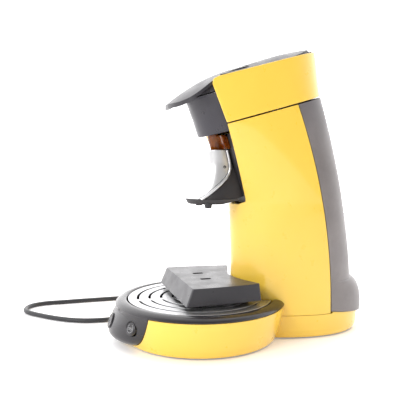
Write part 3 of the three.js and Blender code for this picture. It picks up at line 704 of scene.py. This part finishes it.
def drum_block(name, inset, z0, z1, segments=128):
    levels = [z0 + (z1 - z0) * k / 9 for k in range(10)]
    if inset == 0:
        side = [(drum_radius(z0) - 1.8, z0), (drum_radius(z0) - 0.7, z0 + 0.5)]
        side += [(drum_radius(z), z) for z in [z0 + 1.6, *levels[1:]]]
    else:
        side = [(drum_radius(max(z, 0)) - inset, z) for z in levels]
    return turned(name, side, segments)


FOOT_REAR = 194


def foot_block(name, inset, z0, z1, slope=False):
    def ring(z, tuck):
        section = {"a": TOWER_A - tuck, "middle": TOWER_CY, "nose": TOWER_NOSE + tuck,
                   "rear": FOOT_REAR - tuck, "power": 2}
        made = []
        for i in range(120):
            x, y = on_egg(section, 2 * math.pi * i / 120, inset)
            made.append((x, y, foot_top(y) if slope and z == z1 else z))
        return made
    levels = [(z0, 5), (z0 + 0.8, 3.8), (4, 2.6), (6.5, 1.5), (10, 0.8), (16, 0.3), (z1, 0)]
    return solid(name, [ring(z, tuck) for z, tuck in levels])


def column(name, out, z0, z1):
    section = tower_section(SEAM_Z)
    rows = [[(*on_egg(section, 2 * math.pi * i / 120, -out), z) for i in range(120)] for z in (z0, z1)]
    return solid(name, rows)


def cord_way():
    return Vector((-0.95, 0.24, -0.18)).normalized()


CORD_EXIT = (-46, 152, 12)


def add_base():
    base = drum_block("base_skin", 0, 1.4, DRUM_TOP)
    carve(base, foot_block("foot", 0, 1.4, 27, slope=True), operation="UNION")
    hollow = drum_block("hollow", WALL, -5, 60)
    carve(hollow, foot_block("foot_hollow", WALL, -5, 60), operation="UNION")
    way = cord_way()
    hole = turned("cord_hole", [(0.01, -20), (5.2, -20), (5.2, 20), (0.01, 20)], 32, CORD_EXIT, way)
    carve(base, hollow, column("tower_way", 0.5, SEAM_Z + 0.05, 60), panel_block("panel_way", 0.8, 25), hole)
    piece(base, "machine", "yellow_casing", "base_shell", sharp=30)


# ---------------------------------------------------------------- rim and panel
PANEL_EDGE = 41


def panel_bottom(deg):
    return 4.5 + 36 * (min(abs(deg), PANEL_EDGE) / PANEL_EDGE) ** 5


def panel_outer(deg, z):
    tuck = max(0, 16 - z) / 12.5
    front = 103.5 - 0.0125 * (z - 10) ** 2 - 18 * (1 - math.sqrt(max(0, 1 - tuck * tuck)))
    edge = PANEL_EDGE * max(0.05, (z - 4.4) / 36) ** 0.2
    side = max(0, 1 - (deg / (edge + 0.5)) ** 2) ** 0.9
    return drum_radius(z) + 0.4 + max(0, front - drum_radius(z)) * side


def polar(radius, deg, z):
    t = math.radians(deg)
    return radius * math.sin(t), -radius * math.cos(t), z


def panel_block(name, grow, thick, steps=56):
    edge = PANEL_EDGE + grow * 0.7
    rings = []
    for i in range(steps + 1):
        deg = -edge * math.cos(math.pi * i / steps)
        low = panel_bottom(deg) - grow
        levels = [low + (41.2 + grow - low) * (k / 14) ** 1.3 for k in range(15)]
        outside = [polar(panel_outer(deg, z) + grow * 4, deg, z) for z in levels]
        inside = [polar(panel_outer(deg, z) - thick, deg, z) for z in reversed(levels)]
        rings.append(outside + inside)
    return solid(name, rings)


def panel_chin():
    rings = []
    for i in range(33):
        deg = -24 + 48 * i / 32
        low = panel_bottom(deg)
        outer = panel_outer(deg, low) - 0.2
        inner = min(drum_radius(low) - 1, outer - 1.2)
        rings.append([polar(outer, deg, low), polar(outer + 0.6, deg, low + WALL),
                      polar(inner, deg, low + WALL), polar(inner, deg, low)])
    return solid("chin", rings)


BUTTONS = [("one_cup", -27, 27, 7), ("power", 0, 25, 8.5), ("two_cup", 27, 27, 7)]


def button_place(deg, z):
    t = math.radians(deg)
    seat = Vector(polar(panel_outer(deg, z), deg, z))
    axis = Vector((0.94 * math.sin(t), -0.94 * math.cos(t), 0.34)).normalized()
    return seat, axis


def add_rim():
    section = rounded([(81.6, 41), (82.4, 45), (84.5, RIM_Z), (89, 45.6), (93, 43.6), (RIM_R, 41)], 3)
    seam = DRUM_TOP + GAP
    section += [(94.8, seam + 0.5), (94.2, seam), (88, seam), (83, 40.6), (81.6, 41)]
    rim = turned("rim_skin", section, 160)
    holes = []
    for name, deg, z, r in BUTTONS:
        seat, axis = button_place(deg, z)
        wide = r + GAP
        holes.append(turned("hole_" + name, [(0.01, -14), (wide, -14), (wide, 8), (0.01, 8)], 48, seat, axis))
    panel = carve(panel_block("panel", 0, WALL), panel_chin(), operation="UNION")
    carve(panel, *holes)
    soften(panel, 0.5, 2)
    carve(rim, column("tower_way", 0.5, 0, 80))
    piece(joined("rim_and_panel", rim, panel), "machine", "gloss_panel", "rim_panel", sharp=32)


def button_frame(axis):
    """Right and up directions on a button's face."""
    up = (Vector((0, 0, 1)) - axis * axis.z).normalized()
    return up.cross(axis).normalized(), up


def icon_line(seat, axis, points, lift=1.05):
    right, up = button_frame(axis)
    return [tuple(seat + right * u + up * v + axis * lift) for u, v in points]


def arc_points(u, v, radius, start, end, steps=24):
    angles = [math.radians(start + (end - start) * k / steps) for k in range(steps + 1)]
    return [(u + radius * math.cos(t), v + radius * math.sin(t)) for t in angles]


def cup_icon(u):
    outline = [(-1.3, 0.9), (-1.1, -0.7), (-0.6, -1.2), (0.6, -1.2), (1.1, -0.7), (1.3, 0.9), (-1.3, 0.9)]
    bowl = [(u + a, b) for a, b in outline]
    return [bowl, arc_points(u + 1.3, 0.1, 0.6, 70, -80, 8)]


ICONS = {
    "one_cup": [arc_points(0, 0, 4.3, 120, 420, 40), *cup_icon(-0.2)],
    "two_cup": [arc_points(0, 0, 4.3, 120, 420, 40), *cup_icon(-1.9), *cup_icon(1.6)],
    "power": [arc_points(0, 0, 3.6, 125, 415, 36), [(0, 1.6), (0, 4.6)]],
}


def add_buttons():
    for name, deg, z, r in BUTTONS:
        seat, axis = button_place(deg, z)
        cap = [(0.01, -7), (3, -7), (3, -1.6), (r, -1.6), (r, 0.1), (r - 0.25, 0.7), (r - 0.8, 1.05),
               (r - 1.6, 1.1), (r * 0.5, 0.9), (0.01, 0.82)]
        button = turned(name + "_cap", cap, 64, seat, axis)
        button = piece(button, name, "gloss_panel", name + "_button", sharp=30)
        wires = [tube(f"{name}_line_{k}", icon_line(seat, axis, line), 0.19)
                 for k, line in enumerate(ICONS[name])]
        piece(joined(name + "_icon", *wires), name, "gloss_panel", material=MARK)


# ---------------------------------------------------------------- plate and stand
SLOT_RADII = [18, 31, 44, 57, 70]
SLOT_WIDTH = 2.9


def slot_outline(radius, start, end, width=SLOT_WIDTH):
    half = width / 2
    steps = max(8, int(radius * abs(end - start) / 3))
    angles = [start + (end - start) * k / steps for k in range(steps + 1)]
    outer = [((radius + half) * math.cos(t), (radius + half) * math.sin(t)) for t in angles]
    inner = [((radius - half) * math.cos(t), (radius - half) * math.sin(t)) for t in reversed(angles)]

    def nose(t, turn):
        centre = Vector((radius * math.cos(t), radius * math.sin(t)))
        return [tuple(centre + half * Vector((math.cos(t + turn * a), math.sin(t + turn * a))))
                for a in (math.radians(k) for k in (36, 72, 108, 144))]
    return outer + nose(end, 1) + inner + nose(start, -1)[::-1]


def plate_outline():
    section = tower_section(SEAM_Z)
    bay = [on_egg(section, math.radians(-90 + k / 2), -1.6) for k in range(0, 181)]
    bay = [p for p in bay if math.hypot(*p) < PLATE_R - 0.2]
    meet = math.atan2(bay[-1][1], bay[-1][0])
    span = 2 * math.pi - (math.pi - 2 * meet)
    arc = [meet - span * k / 160 for k in range(161)]
    edge = [((PLATE_R - 0.01) * math.cos(t), (PLATE_R - 0.01) * math.sin(t)) for t in arc]
    left = [(-x, y) for x, y in reversed(bay)]
    return left + bay[1:] + edge


def add_plate():
    outlines = [plate_outline()]
    for radius in SLOT_RADII:
        bridge = 5 / radius
        rear = 0.5 + 14 / radius if radius > 40 else 0
        outlines.append(slot_outline(radius, -math.pi / 2 + bridge, math.pi / 2 - rear - bridge))
        outlines.append(slot_outline(radius, math.pi / 2 + rear + bridge, 1.5 * math.pi - bridge))
    plate = flat_sheet("drip_plate_steel", outlines, PLATE_Z, PLATE_T, 0.35)
    piece(plate, "plate", "steel", "drip_plate", sharp=30)


STAND_TOP, STAND_BOTTOM = 68, 50
POCKET_X = 16


def stand_outline(z, out, steps=6):
    """Plan of the cup stand at height z, whose front face leans out the most."""
    spread = (STAND_TOP - z) / (STAND_TOP - STAND_BOTTOM)
    front = -25 - 7.3 * spread - out
    rear = 50.5 + 1.8 * spread + out
    f = 62 + 1.5 * spread + out
    r = 55 + 1.5 * spread + out
    notch = 19 + 1.6 * out
    corner = 3

    def bend(a, b, c):
        made = []
        for k in range(steps):
            t = k / steps
            made.append(tuple((1 - t) ** 2 * p + 2 * t * (1 - t) * q + t * t * s for p, q, s in zip(a, b, c)))
        return made
    cheek, heel = (f - 0.2, front + corner), (r + 0.5, rear - corner)
    right = bend((f - corner, front), (f, front), cheek) + bend(cheek, (f - 1, 18), heel)
    right += bend(heel, (r, rear + 1), (r - corner, rear - 0.5)) + [(r - corner, rear - 0.5)]
    bay = bend((r - corner, rear - 0.5), (0, notch), (-r + corner, rear - 0.5))
    left = [(-x, y) for x, y in reversed(right)]
    return right + bay[1:] + left


def stand_block(name, out, z0, z1):
    levels = [z0 + (z1 - z0) * k / 3 for k in range(4)]
    rings = [[(x, y, z) for x, y in stand_outline(z, out)] for z in levels]
    return solid(name, rings)


def add_stand():
    block = stand_block("cup_stand_shell", 0, STAND_BOTTOM, STAND_TOP)
    pockets = []
    for x in (-POCKET_X, POCKET_X):
        corners = arc_points(x + 1.8, 6.8, 1.2, 0, 90, 4) + arc_points(x - 1.8, 6.8, 1.2, 90, 180, 4)
        corners += arc_points(x - 1.8, -2.8, 1.2, 180, 270, 4) + arc_points(x + 1.8, -2.8, 1.2, 270, 360, 4)
        rows = [[(u, v, z) for u, v in corners] for z in (60, 71)]
        pockets.append(solid("pocket", rows))
    carve(block, stand_block("stand_hollow", -2.2, 40, STAND_TOP - 2.2), *pockets)
    soften(block, 1.1, 4, 30)
    foot = PLATE_Z + PLATE_T + 0.3
    under = STAND_TOP - 1.5
    leg = [(0.01, foot), (2.0, foot), (2.4, foot + 0.5), (2.4, under), (0.01, under)]
    legs = [turned("leg", leg, 24, (x, y, 0)) for x, y in ((-50, -14), (50, -14), (-43, 40), (43, 40))]
    piece(joined("cup_stand_with_legs", block, *legs), "stand", "dark_plastic", "cup_stand", sharp=32)
    floors = []
    for x in (-POCKET_X, POCKET_X):
        corners = [(x - 4.5, -6), (x + 4.5, -6), (x + 4.5, 10), (x - 4.5, 10)]
        rows = [[(u, v, z) for u, v in corners] for z in (STAND_TOP - 5, STAND_TOP - 2.3)]
        trough = solid("trough", rows)
        rows = [[(x + 3.6 * a, 2 + 6.6 * b, z) for a, b in ((-1, -1), (1, -1), (1, 1), (-1, 1))]
                for z in (STAND_TOP - 4.2, STAND_TOP)]
        floors.append(soften(carve(trough, solid("well", rows)), 0.3, 2))
    piece(joined("stand_pockets", *floors), "stand", "black_plastic", sharp=32)


# ---------------------------------------------------------------- chamber, lid, lever
HEAD_AXIS = Vector((0, -math.sin(CANT), math.cos(CANT)))
ALONG = Vector((0, math.cos(CANT), math.sin(CANT)))


def canted(x, s, v):
    """A point at x across, s back along the head's slope and v above its top plane."""
    return tuple(Vector((x, CHAMBER_Y, CHAMBER_Z)) + ALONG * s + HEAD_AXIS * v)


def add_chamber():
    profile = [(0.01, -58), (41, -58), (42.2, -57.6), (42.8, -56.6), (43.05, -55), (44, -38), (45, -26),
               (46, -15), (43, -15), (42, -26), (40.4, -54), (0.01, -54)]
    chamber = turned("brew_chamber_cup", profile, 128, (0, CHAMBER_Y, CHAMBER_Z), HEAD_AXIS)
    piece(chamber, "machine", "dark_plastic", "brew_chamber", material=CHAMBER, sharp=34)


LEVER_HALF = 42
LEVER_PIN = (0, 40, 298.2)


def lever_top(y):
    return 260 + 0.83 * (y + 37) - 0.0039 * (y + 37) ** 2


def lever_half(y):
    tip = max(0, -5 - y) / 33.2
    return max(5, LEVER_HALF * math.sqrt(max(0, 1 - tip * tip)))


def lever_crown(y):
    return min(13, max(3, 13 - 0.235 * (y + 33)))


def tongue(name, levels, grow, below, above, tip=0, columns=24):
    rings = []
    for y in levels:
        half = lever_half(y) + grow
        xs = [-half * math.cos(math.pi * k / columns) for k in range(columns + 1)]
        top = [(x, y, lever_top(y) - lever_crown(y) * (x / LEVER_HALF) ** 2 + above) for x in xs]
        sag = below + tip * min(1, max(0, (-8 - y) / 15))
        low = [(x, y, lever_top(y) - lever_crown(y) * (x / LEVER_HALF) ** 2 - sag) for x in reversed(xs)]
        rings.append(top + low)
    return solid(name, rings)


def lever_levels():
    tip = [-38 + 33 * (1 - math.cos(math.pi / 2 * k / 14)) for k in range(15)]
    return tip + [-5 + 44.5 * k / 14 for k in range(1, 15)]


def add_lever():
    body = tongue("lever_tongue", lever_levels(), 0, 3.8, 0, tip=1)
    soften(body, 1.5, 4, 45)
    body = settle(body)
    knuckle = turned("knuckle", [(0.01, -20), (2.2, -20), (2.2, 20), (0.01, 20)], 32, LEVER_PIN, (1, 0, 0))
    carve(body, knuckle, operation="UNION")
    gaps = []
    for x in (-16, 16):
        plan = [(x - 2.6, 35.5), (x + 2.6, 35.5), (x + 2.6, 46), (x - 2.6, 46)]
        rows = [[(u, v, z) for u, v in plan] for z in (290, 306)]
        gaps.append(solid("gap", rows))
    carve(body, *gaps)
    plan = [(-8, -20.6), (8, -20.6), (8, -18.2), (-8, -18.2)]
    hook = solid("hook", [[(x, y, z) for x, y in plan] for z in (264.6, 267, 269.4)])
    soften(hook, 0.5, 2)
    piece(joined("lever_with_hook", body, hook), "lever", "dark_plastic", "lever")


HINGE_Y, HINGE_Z = 116, 316.8
LID_R = 46.2
LID_END = HINGE_Y - 3
LID_CROWN = [(-40, 281), (-30, 283), (-8, 287.5), (16, 294), (41, 300.6), (62, 308), (82, 314.4), (98, 318.3),
             (LID_END, 320)]


def crown_height(y):
    for (y0, z0), (y1, z1) in zip(LID_CROWN, LID_CROWN[1:]):
        if y <= y1:
            return z0 + (z1 - z0) * max(0, (y - y0) / (y1 - y0))
    return LID_CROWN[-1][1]


def lid_top(x, s):
    """Height of the lid above the head's top plane."""
    v = 6.5
    y = CHAMBER_Y + s * math.cos(CANT) - v * math.sin(CANT)
    ridge = -(y - CHAMBER_Y) * math.sin(CANT) + (crown_height(y) - CHAMBER_Z) * math.cos(CANT)
    arch = 9.5 - x * x / 232
    k = 1.6
    blend = max(k - abs(ridge - arch), 0) / k
    return min(ridge, arch) - blend * blend * k / 4


def lid_half(s):
    if s < 0:
        return math.sqrt(max(0.01, LID_R ** 2 - s * s))
    y, z = CHAMBER_Y + s * math.cos(CANT), CHAMBER_Z + s * math.sin(CANT)
    section = tower_section(z)
    x = on_egg(section, angle_at(section, min(y + 3.3, section["rear"] - 0.5)), 0)[0] - 3.3
    return min(LID_R, x)


def add_lid():
    rear = (LID_END - CHAMBER_Y) / math.cos(CANT)
    ss = [-46.15 * math.cos(math.pi / 2 * k / 16) for k in range(16)] + [rear * (k / 28) for k in range(29)]
    rings = []
    for s in ss:
        half = lid_half(s)
        xs = [-half * math.cos(math.pi * k / 36) for k in range(37)]
        top = [canted(x, s, lid_top(x, s)) for x in xs]
        low = [canted(x, s, -13.8) for x in reversed(xs)]
        rings.append(top + low)
    lid = solid("lid_dome", rings)
    soften(lid, 0.8, 3, 50)
    lid = settle(lid)
    room = tongue("lever_room", [-60, *lever_levels(), 41], 1.2, 4.8, 40)
    carve(lid, room)
    ears = []
    for x in (-15.2, 15.2):
        ears.append(turned("ear", [(0.01, x - 5.6), (3, x - 5.6), (3, x + 5.6), (0.01, x + 5.6)], 32,
                           (0, HINGE_Y, HINGE_Z), (1, 0, 0)))
    piece(joined("lid_with_ears", lid, *ears), "lid", "dark_plastic", "lid", sharp=30)


# ---------------------------------------------------------------- spout
def spout_plan(z, out, rear, arc_steps=28):
    """Half outline of the spout at height z, from the middle of the front to the rear edge."""
    t = min(1, max(0, (z - 157) / 40))
    flare = (1 - t) ** 1.6
    front = 3 - 19.5 * flare - out
    half = 19.5 + 8 * flare + out
    line = []
    for k in range(arc_steps + 1):
        a = math.pi / 2 * k / arc_steps
        line.append((half * math.sin(a), 20 - (20 - front) * math.cos(a)))
    if rear <= 20:
        kept = [p for p in line if p[1] < rear]
        if len(kept) < 2:
            kept = line[:2]
        c = min(1, max(-1, (20 - rear) / (20 - front)))
        kept.append((half * math.sqrt(max(0, 1 - c * c)), rear))
        return kept
    narrow = min(half * 0.92, 11 + 0.32 * (z - NICHE_Z))
    share = max(0, (rear - 20) / 40)
    line.append((half + (narrow - half) * share, rear))
    return line


COVER_EDGE = [(-2, 156.6), (5, 161.5), (12, 167), (19, 172.8), (25, 178.5), (28.8, 184), (30.4, 190),
              (29.6, 198), (26.8, 210)]


def cover_rear(z):
    for (y0, z0), (y1, z1) in zip(COVER_EDGE, COVER_EDGE[1:]):
        if z <= z1:
            return y0 + (y1 - y0) * (z - z0) / (z1 - z0)
    return COVER_EDGE[-1][0]


def cover_line(inward, lift):
    """The cover's rear edge on the +X side, moved `inward` along the skin and `lift` out of it."""
    made = []
    for _, z in smooth_line(COVER_EDGE, 6):
        slope = (cover_rear(z + 0.4) - cover_rear(z - 0.4)) / 0.8
        plan = list(reversed(spout_plan(z, 0, cover_rear(z))))
        length = sum(math.dist(a, b) for a, b in zip(plan, plan[1:]))
        x, v, nx, ny = walk(plan, min(inward * math.sqrt(1 + slope * slope), length * 0.9))
        made.append((x + nx * lift, v + ny * lift, z))
    return made


def add_cover():
    """Bright cover with a round bead, and a thin black line along its rear edge as painted shade of a groove.
    """
    levels = [z for _, z in smooth_line(COVER_EDGE, 5)]
    rows = []
    for z in levels:
        plan = list(reversed(spout_plan(z, 0, cover_rear(z))))
        length = sum(math.dist(a, b) for a, b in zip(plan, plan[1:]))
        line = []
        for k in range(27):
            x, y, _, _ = walk(plan, length * k / 26)
            line.append((x, y, z))
        rows.append(line[:-1] + [(0, line[-1][1], z)] + [(-x, y, w) for x, y, w in reversed(line[:-1])])
    cover = Shape().grid(rows).object("spout_cover_skin", centre=(0, 25, 185))
    soften(thicken(cover, 1.3), 0.25, 2, 50)
    piece(cover, "spout", "bright_cover", "spout_cover")
    beads, groove_shade_lines = [], []
    for side in (-1, 1):
        beads.append(tube("bead", [(side * x, y, z) for x, y, z in cover_line(1.5, -0.2)], 1.55))
        # thin black wire lying on the cover: painted shade of the groove behind the bead
        groove_shade_lines.append(tube("groove", [(side * x, y, z) for x, y, z in cover_line(3.3, 0.0)], 0.28))
    piece(joined("cover_beads", *beads), "spout", "bright_cover", sharp=50)
    # the black line stands in for the groove's shade: painted shade
    piece(joined("cover_groove_shade_lines", *groove_shade_lines), "spout", "black_plastic", sharp=50)
    pins = []
    for side in (-1, 1):
        head = [(0.01, -1), (1.7, -1), (1.7, 0.3), (1.3, 0.7), (0.7, 0.75), (0.6, 0.3), (0.01, 0.25)]
        pins.append(turned("pin", head, 32, (side * 19.4, 22.5, 191.4), (side, 0, 0)))
    piece(joined("cover_pins", *pins), "spout", "black_plastic", sharp=30)


def walk(line, along):
    """Point and outward normal at a distance along a line that runs forward on the +X side."""
    for (x0, y0), (x1, y1) in zip(line, line[1:]):
        step = math.dist((x0, y0), (x1, y1))
        if step > 1e-6 and (along <= step or (x1, y1) == line[-1]):
            t = min(1, along / step)
            return x0 + (x1 - x0) * t, y0 + (y1 - y0) * t, -(y1 - y0) / step, (x1 - x0) / step
        along -= step
    return (*line[-1], 0, -1)


def add_spout():
    levels = [150.6, 151, 152, 153.5, 155, 156.1, 156.3, 159, 162, 166, 170, 175, 180, 185, 190, 197, 205]
    rings = []
    for z in levels:
        under = 0.3 + 0.42 * (156.2 - z) if z < 156.25 else 2.1
        if z < 151.5:
            under += 0.9 * (151.5 - z)
        rear = 37.5 if z < 157 else niche_edge(z) + 1.2
        plan = spout_plan(max(z, 156.6), -under, rear)
        ring = [(x, y, z) for x, y in plan] + [(-x, y, z) for x, y in reversed(plan[1:])]
        rings.append(resampled([*ring, ring[0]], 110)[:-1])
    body = solid("spout_block", rings)
    basin = solid("basin", [[(-14, 8, z), (14, 8, z), (14, 38, z), (-14, 38, z)] for z in (196, 215)])
    heel = solid("heel", [[(x, 14, 150), (x, 40, 150), (x, 40, 155)] for x in (-40, 40)])
    carve(body, basin, heel)
    soften(body, 0.6, 2, 50)
    piece(body, "spout", "charcoal_plastic", "spout_body", sharp=34)
    profile = [(1.8, 146.6), (3.3, 146.6), (3.7, 147), (4.2, 150), (4.2, 155.4), (1.8, 155.4), (1.8, 146.6)]
    for name, x in (("nozzle_left", -18.6), ("nozzle_right", 18.6)):
        tip = turned(name + "_tip", profile, 40, (x, 4, 0))
        piece(tip, "spout", "black_plastic", name, sharp=30)


def add_collector():
    way = Vector((0, -0.2, 1)).normalized()
    foot = (0, 21.5, 206.4)
    outer = [(0.01, 0), (7.2, 0), (7.6, 0.4), (7.6, 1.4), (7.2, 2), (7.5, 3), (8.8, 17.5), (8.8, 24),
             (0.01, 24)]
    both = turned("collector_tube", outer, 64, foot, way)
    chute = turned("chute", [(0.01, -4), (4.8, -4), (4.8, 30), (0.01, 30)], 48, foot, way)

    def rear(z):
        return niche_edge(z) + 2.4
    side = [(20.4, 211.1), (rear(211.1), 211.1), (rear(226), 226), (15.9, 226)]
    rows = [[(x, y, z) for y, z in side] for x in (-25.6, 25.6)]
    box = solid("collector_box", rows)
    soften(box, 1.4, 3, 30)
    carve(both, settle(box), operation="UNION")
    square = ((-60, -60), (60, -60), (60, 60), (-60, 60))
    under, above = ([canted(x, s, v) for x, s in square] for v in (-58.4, -20))
    behind = [[(x, y, z) for y, z in ((rear(200) + 0.2, 200), (80, 200), (80, 230), (rear(230) + 0.2, 230))]
              for x in (-40, 40)]
    carve(both, chute, solid("trim", [under, above]), solid("rear_trim", behind))
    piece(both, "machine", "amber_plastic", "collector", sharp=30)


# ---------------------------------------------------------------- mains cord
CORD_ROUTE = [
    (-80.5, 161, 6.5), (-93, 161.5, 3.6), (-112, 157, CORD_R), (-134, 144, CORD_R), (-153, 120, CORD_R),
    (-167, 88, CORD_R), (-176, 50, CORD_R), (-181.5, 10, CORD_R), (-184.5, -30, CORD_R),
    (-186, -70, CORD_R), (-186.2, -110, CORD_R), (-185.1, -146, CORD_R), (-185, -164.5, CORD_R),
    (-179, -181.2, CORD_R), (-168, -190, CORD_R), (-153.5, -191.9, CORD_R), (-139.5, -186.7, CORD_R),
    (-122.5, -172.5, CORD_R), (-106, -156.5, CORD_R), (-92, -138, CORD_R), (-83.5, -118, CORD_R),
    (-81.5, -95, CORD_R), (-86, -71, CORD_R), (-93, -46, CORD_R), (-99, -22, CORD_R), (-100.5, 4, CORD_R),
    (-99.5, 31, 3.2), (-97.5, 58, 5), (-97, 80, 9.3),
]
PLUG_WAY = Vector((0, 0.966, 0.259))


def add_cord():
    line = smooth_line(CORD_ROUTE, 5)
    cord = tube("mains_lead", line, CORD_R - 0.1)
    cord.data.bevel_resolution = 5
    paint(cord, CORD)
    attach(cord, "machine")
    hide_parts("mains_cord")
    relief = add_relief()
    plug = add_plug()
    length = sum(math.dist(a, b) for a, b in zip(line, line[1:])) / 1000
    return length


def add_relief():
    sleeve = [(0.01, -9), (7.4, -9), (7.4, -6.6), (4.7, -6.6), (4.7, 6.6), (6.2, 6.6), (6.2, 9)]
    ribs = 7
    for k in range(ribs):
        z = 9 + 25 * (k + 0.15) / ribs
        r = 6.2 - 2.2 * (z - 9) / 25
        sleeve += [(r, z), (r, z + 1.7), (r - 0.9, z + 2.0), (r - 0.9, z + 3.2)]
    sleeve += [(3.9, 34), (3.9, 37.5), (0.01, 37.5)]
    relief = turned("cord_relief", sleeve, 40, CORD_EXIT, cord_way())
    return piece(relief, "machine", "rubber", "strain_relief", sharp=30)


def add_plug():
    grip = [(0.01, 0.3), (3.2, 0.3), (3.7, 0.9), (5.5, 8), (7.2, 10), (9.5, 12), (10.6, 15), (11, 22),
            (11, 29), (12.4, 31.5), (16, 33), (17.9, 34.2), (18.4, 36), (18.4, 43.2), (17.8, 44), (0.01, 44)]
    end = Vector(CORD_ROUTE[-1])
    body = turned("plug_body", grip, 72, end, PLUG_WAY)
    rib = [(11.6, 15), (11.6, 16.6), (10.2, 16.6), (10.2, 15), (11.6, 15)]
    rings = [turned(f"plug_ring_{k}", [(r, z + 3.4 * k) for r, z in rib], 48, end, PLUG_WAY)
             for k in range(4)]
    plug = piece(joined("mains_plug_body", body, *rings), "machine", "black_plastic", "mains_plug", sharp=30)
    pins = []
    for x in (-9.5, 9.5):
        pins.append(turned("pin", [(0.01, 43), (2.4, 43), (2.4, 61.6), (1.9, 62.6), (0.01, 63)], 32,
                           end + Vector((x, 0, 0)), PLUG_WAY))
    steel_pins = piece(joined("plug_pins", *pins), "machine", "steel", sharp=30)
    steel_pins.parent = plug
    steel_pins.matrix_parent_inverse = plug.matrix_world.inverted()
    return plug


# ---------------------------------------------------------------- studio
FLOOR_R = 1.5


def add_floor():
    mesh = bpy.data.meshes.new("floor")
    rim = [2 * math.pi * k / 96 for k in range(96)]
    mesh.from_pydata([(FLOOR_R * math.cos(t), FLOOR_R * math.sin(t), 0) for t in rim], [], [tuple(range(96))])
    floor = bpy.data.objects.new("floor", mesh)
    bpy.context.scene.collection.objects.link(floor)
    m = Nodes("floor")
    tone = m.ramp(m.noise(3, 2), [(0.4, (0.90, 0.89, 0.90)), (0.6, (0.92, 0.91, 0.915))])
    m.link(tone, m.shader.inputs["Base Color"])
    m.shader.inputs["Roughness"].default_value = 0.6
    m.shader.inputs["Emission Color"].default_value = (1, 0.995, 1, 1)
    m.shader.inputs["Emission Strength"].default_value = 0.22
    paint(floor, m.material)


def area_light(name, place, target, size, power, colour=(1, 1, 1)):
    data = bpy.data.lights.new(name, "AREA")
    data.shape = "RECTANGLE"
    data.size, data.size_y = size
    data.energy = power
    data.color = colour
    light = bpy.data.objects.new(name, data)
    light.location = place
    light.rotation_mode = "QUATERNION"
    light.rotation_quaternion = (Vector(target) - Vector(place)).to_track_quat("-Z", "Y")
    bpy.context.scene.collection.objects.link(light)


def add_world():
    """A white backdrop behind the object that falls off to a dim room on the viewer's side."""
    world = bpy.data.worlds.new("studio")
    bpy.context.scene.world = world
    world.use_nodes = True
    nodes, links = world.node_tree.nodes, world.node_tree.links
    place = nodes.new("ShaderNodeTexCoord")
    facing = nodes.new("ShaderNodeVectorMath")
    facing.operation = "DOT_PRODUCT"
    facing.inputs[1].default_value = (math.sin(VIEW_AZIMUTH), -math.cos(VIEW_AZIMUTH), 0)
    links.new(place.outputs["Generated"], facing.inputs[0])
    fall = nodes.new("ShaderNodeMapRange")
    fall.interpolation_type = "SMOOTHSTEP"
    for socket, value in zip(fall.inputs[1:5], (-0.55, 0.65, BACKDROP, ROOM)):
        socket.default_value = value
    links.new(facing.outputs["Value"], fall.inputs["Value"])
    background = nodes["Background"]
    background.inputs["Color"].default_value = (1, 0.995, 1, 1)
    links.new(fall.outputs["Result"], background.inputs["Strength"])


BACKDROP = 2.3
ROOM = 0.3


def add_light():
    add_world()
    area_light("key", (1.0, -1.35, 1.0), (0, 0, 0.12), (0.7, 0.7), 13.5)
    area_light("front", (0.2, -1.7, 0.9), (0, 0, 0.15), (1.2, 0.8), 6)
    area_light("top", (-0.1, 0.1, 1.7), (0, 0, 0), (1.4, 1.4), 3)
    bpy.context.scene.view_settings.view_transform = "Standard"


# ---------------------------------------------------------------- the whole scene
add_camera()
add_cord()
dress_cad()
add_base()
add_rim()
add_buttons()
add_plate()
add_stand()
add_tower()
add_tank()
add_head()
add_chamber()
add_lid()
add_lever()
add_cover()
add_spout()
add_collector()
add_floor()
add_light()
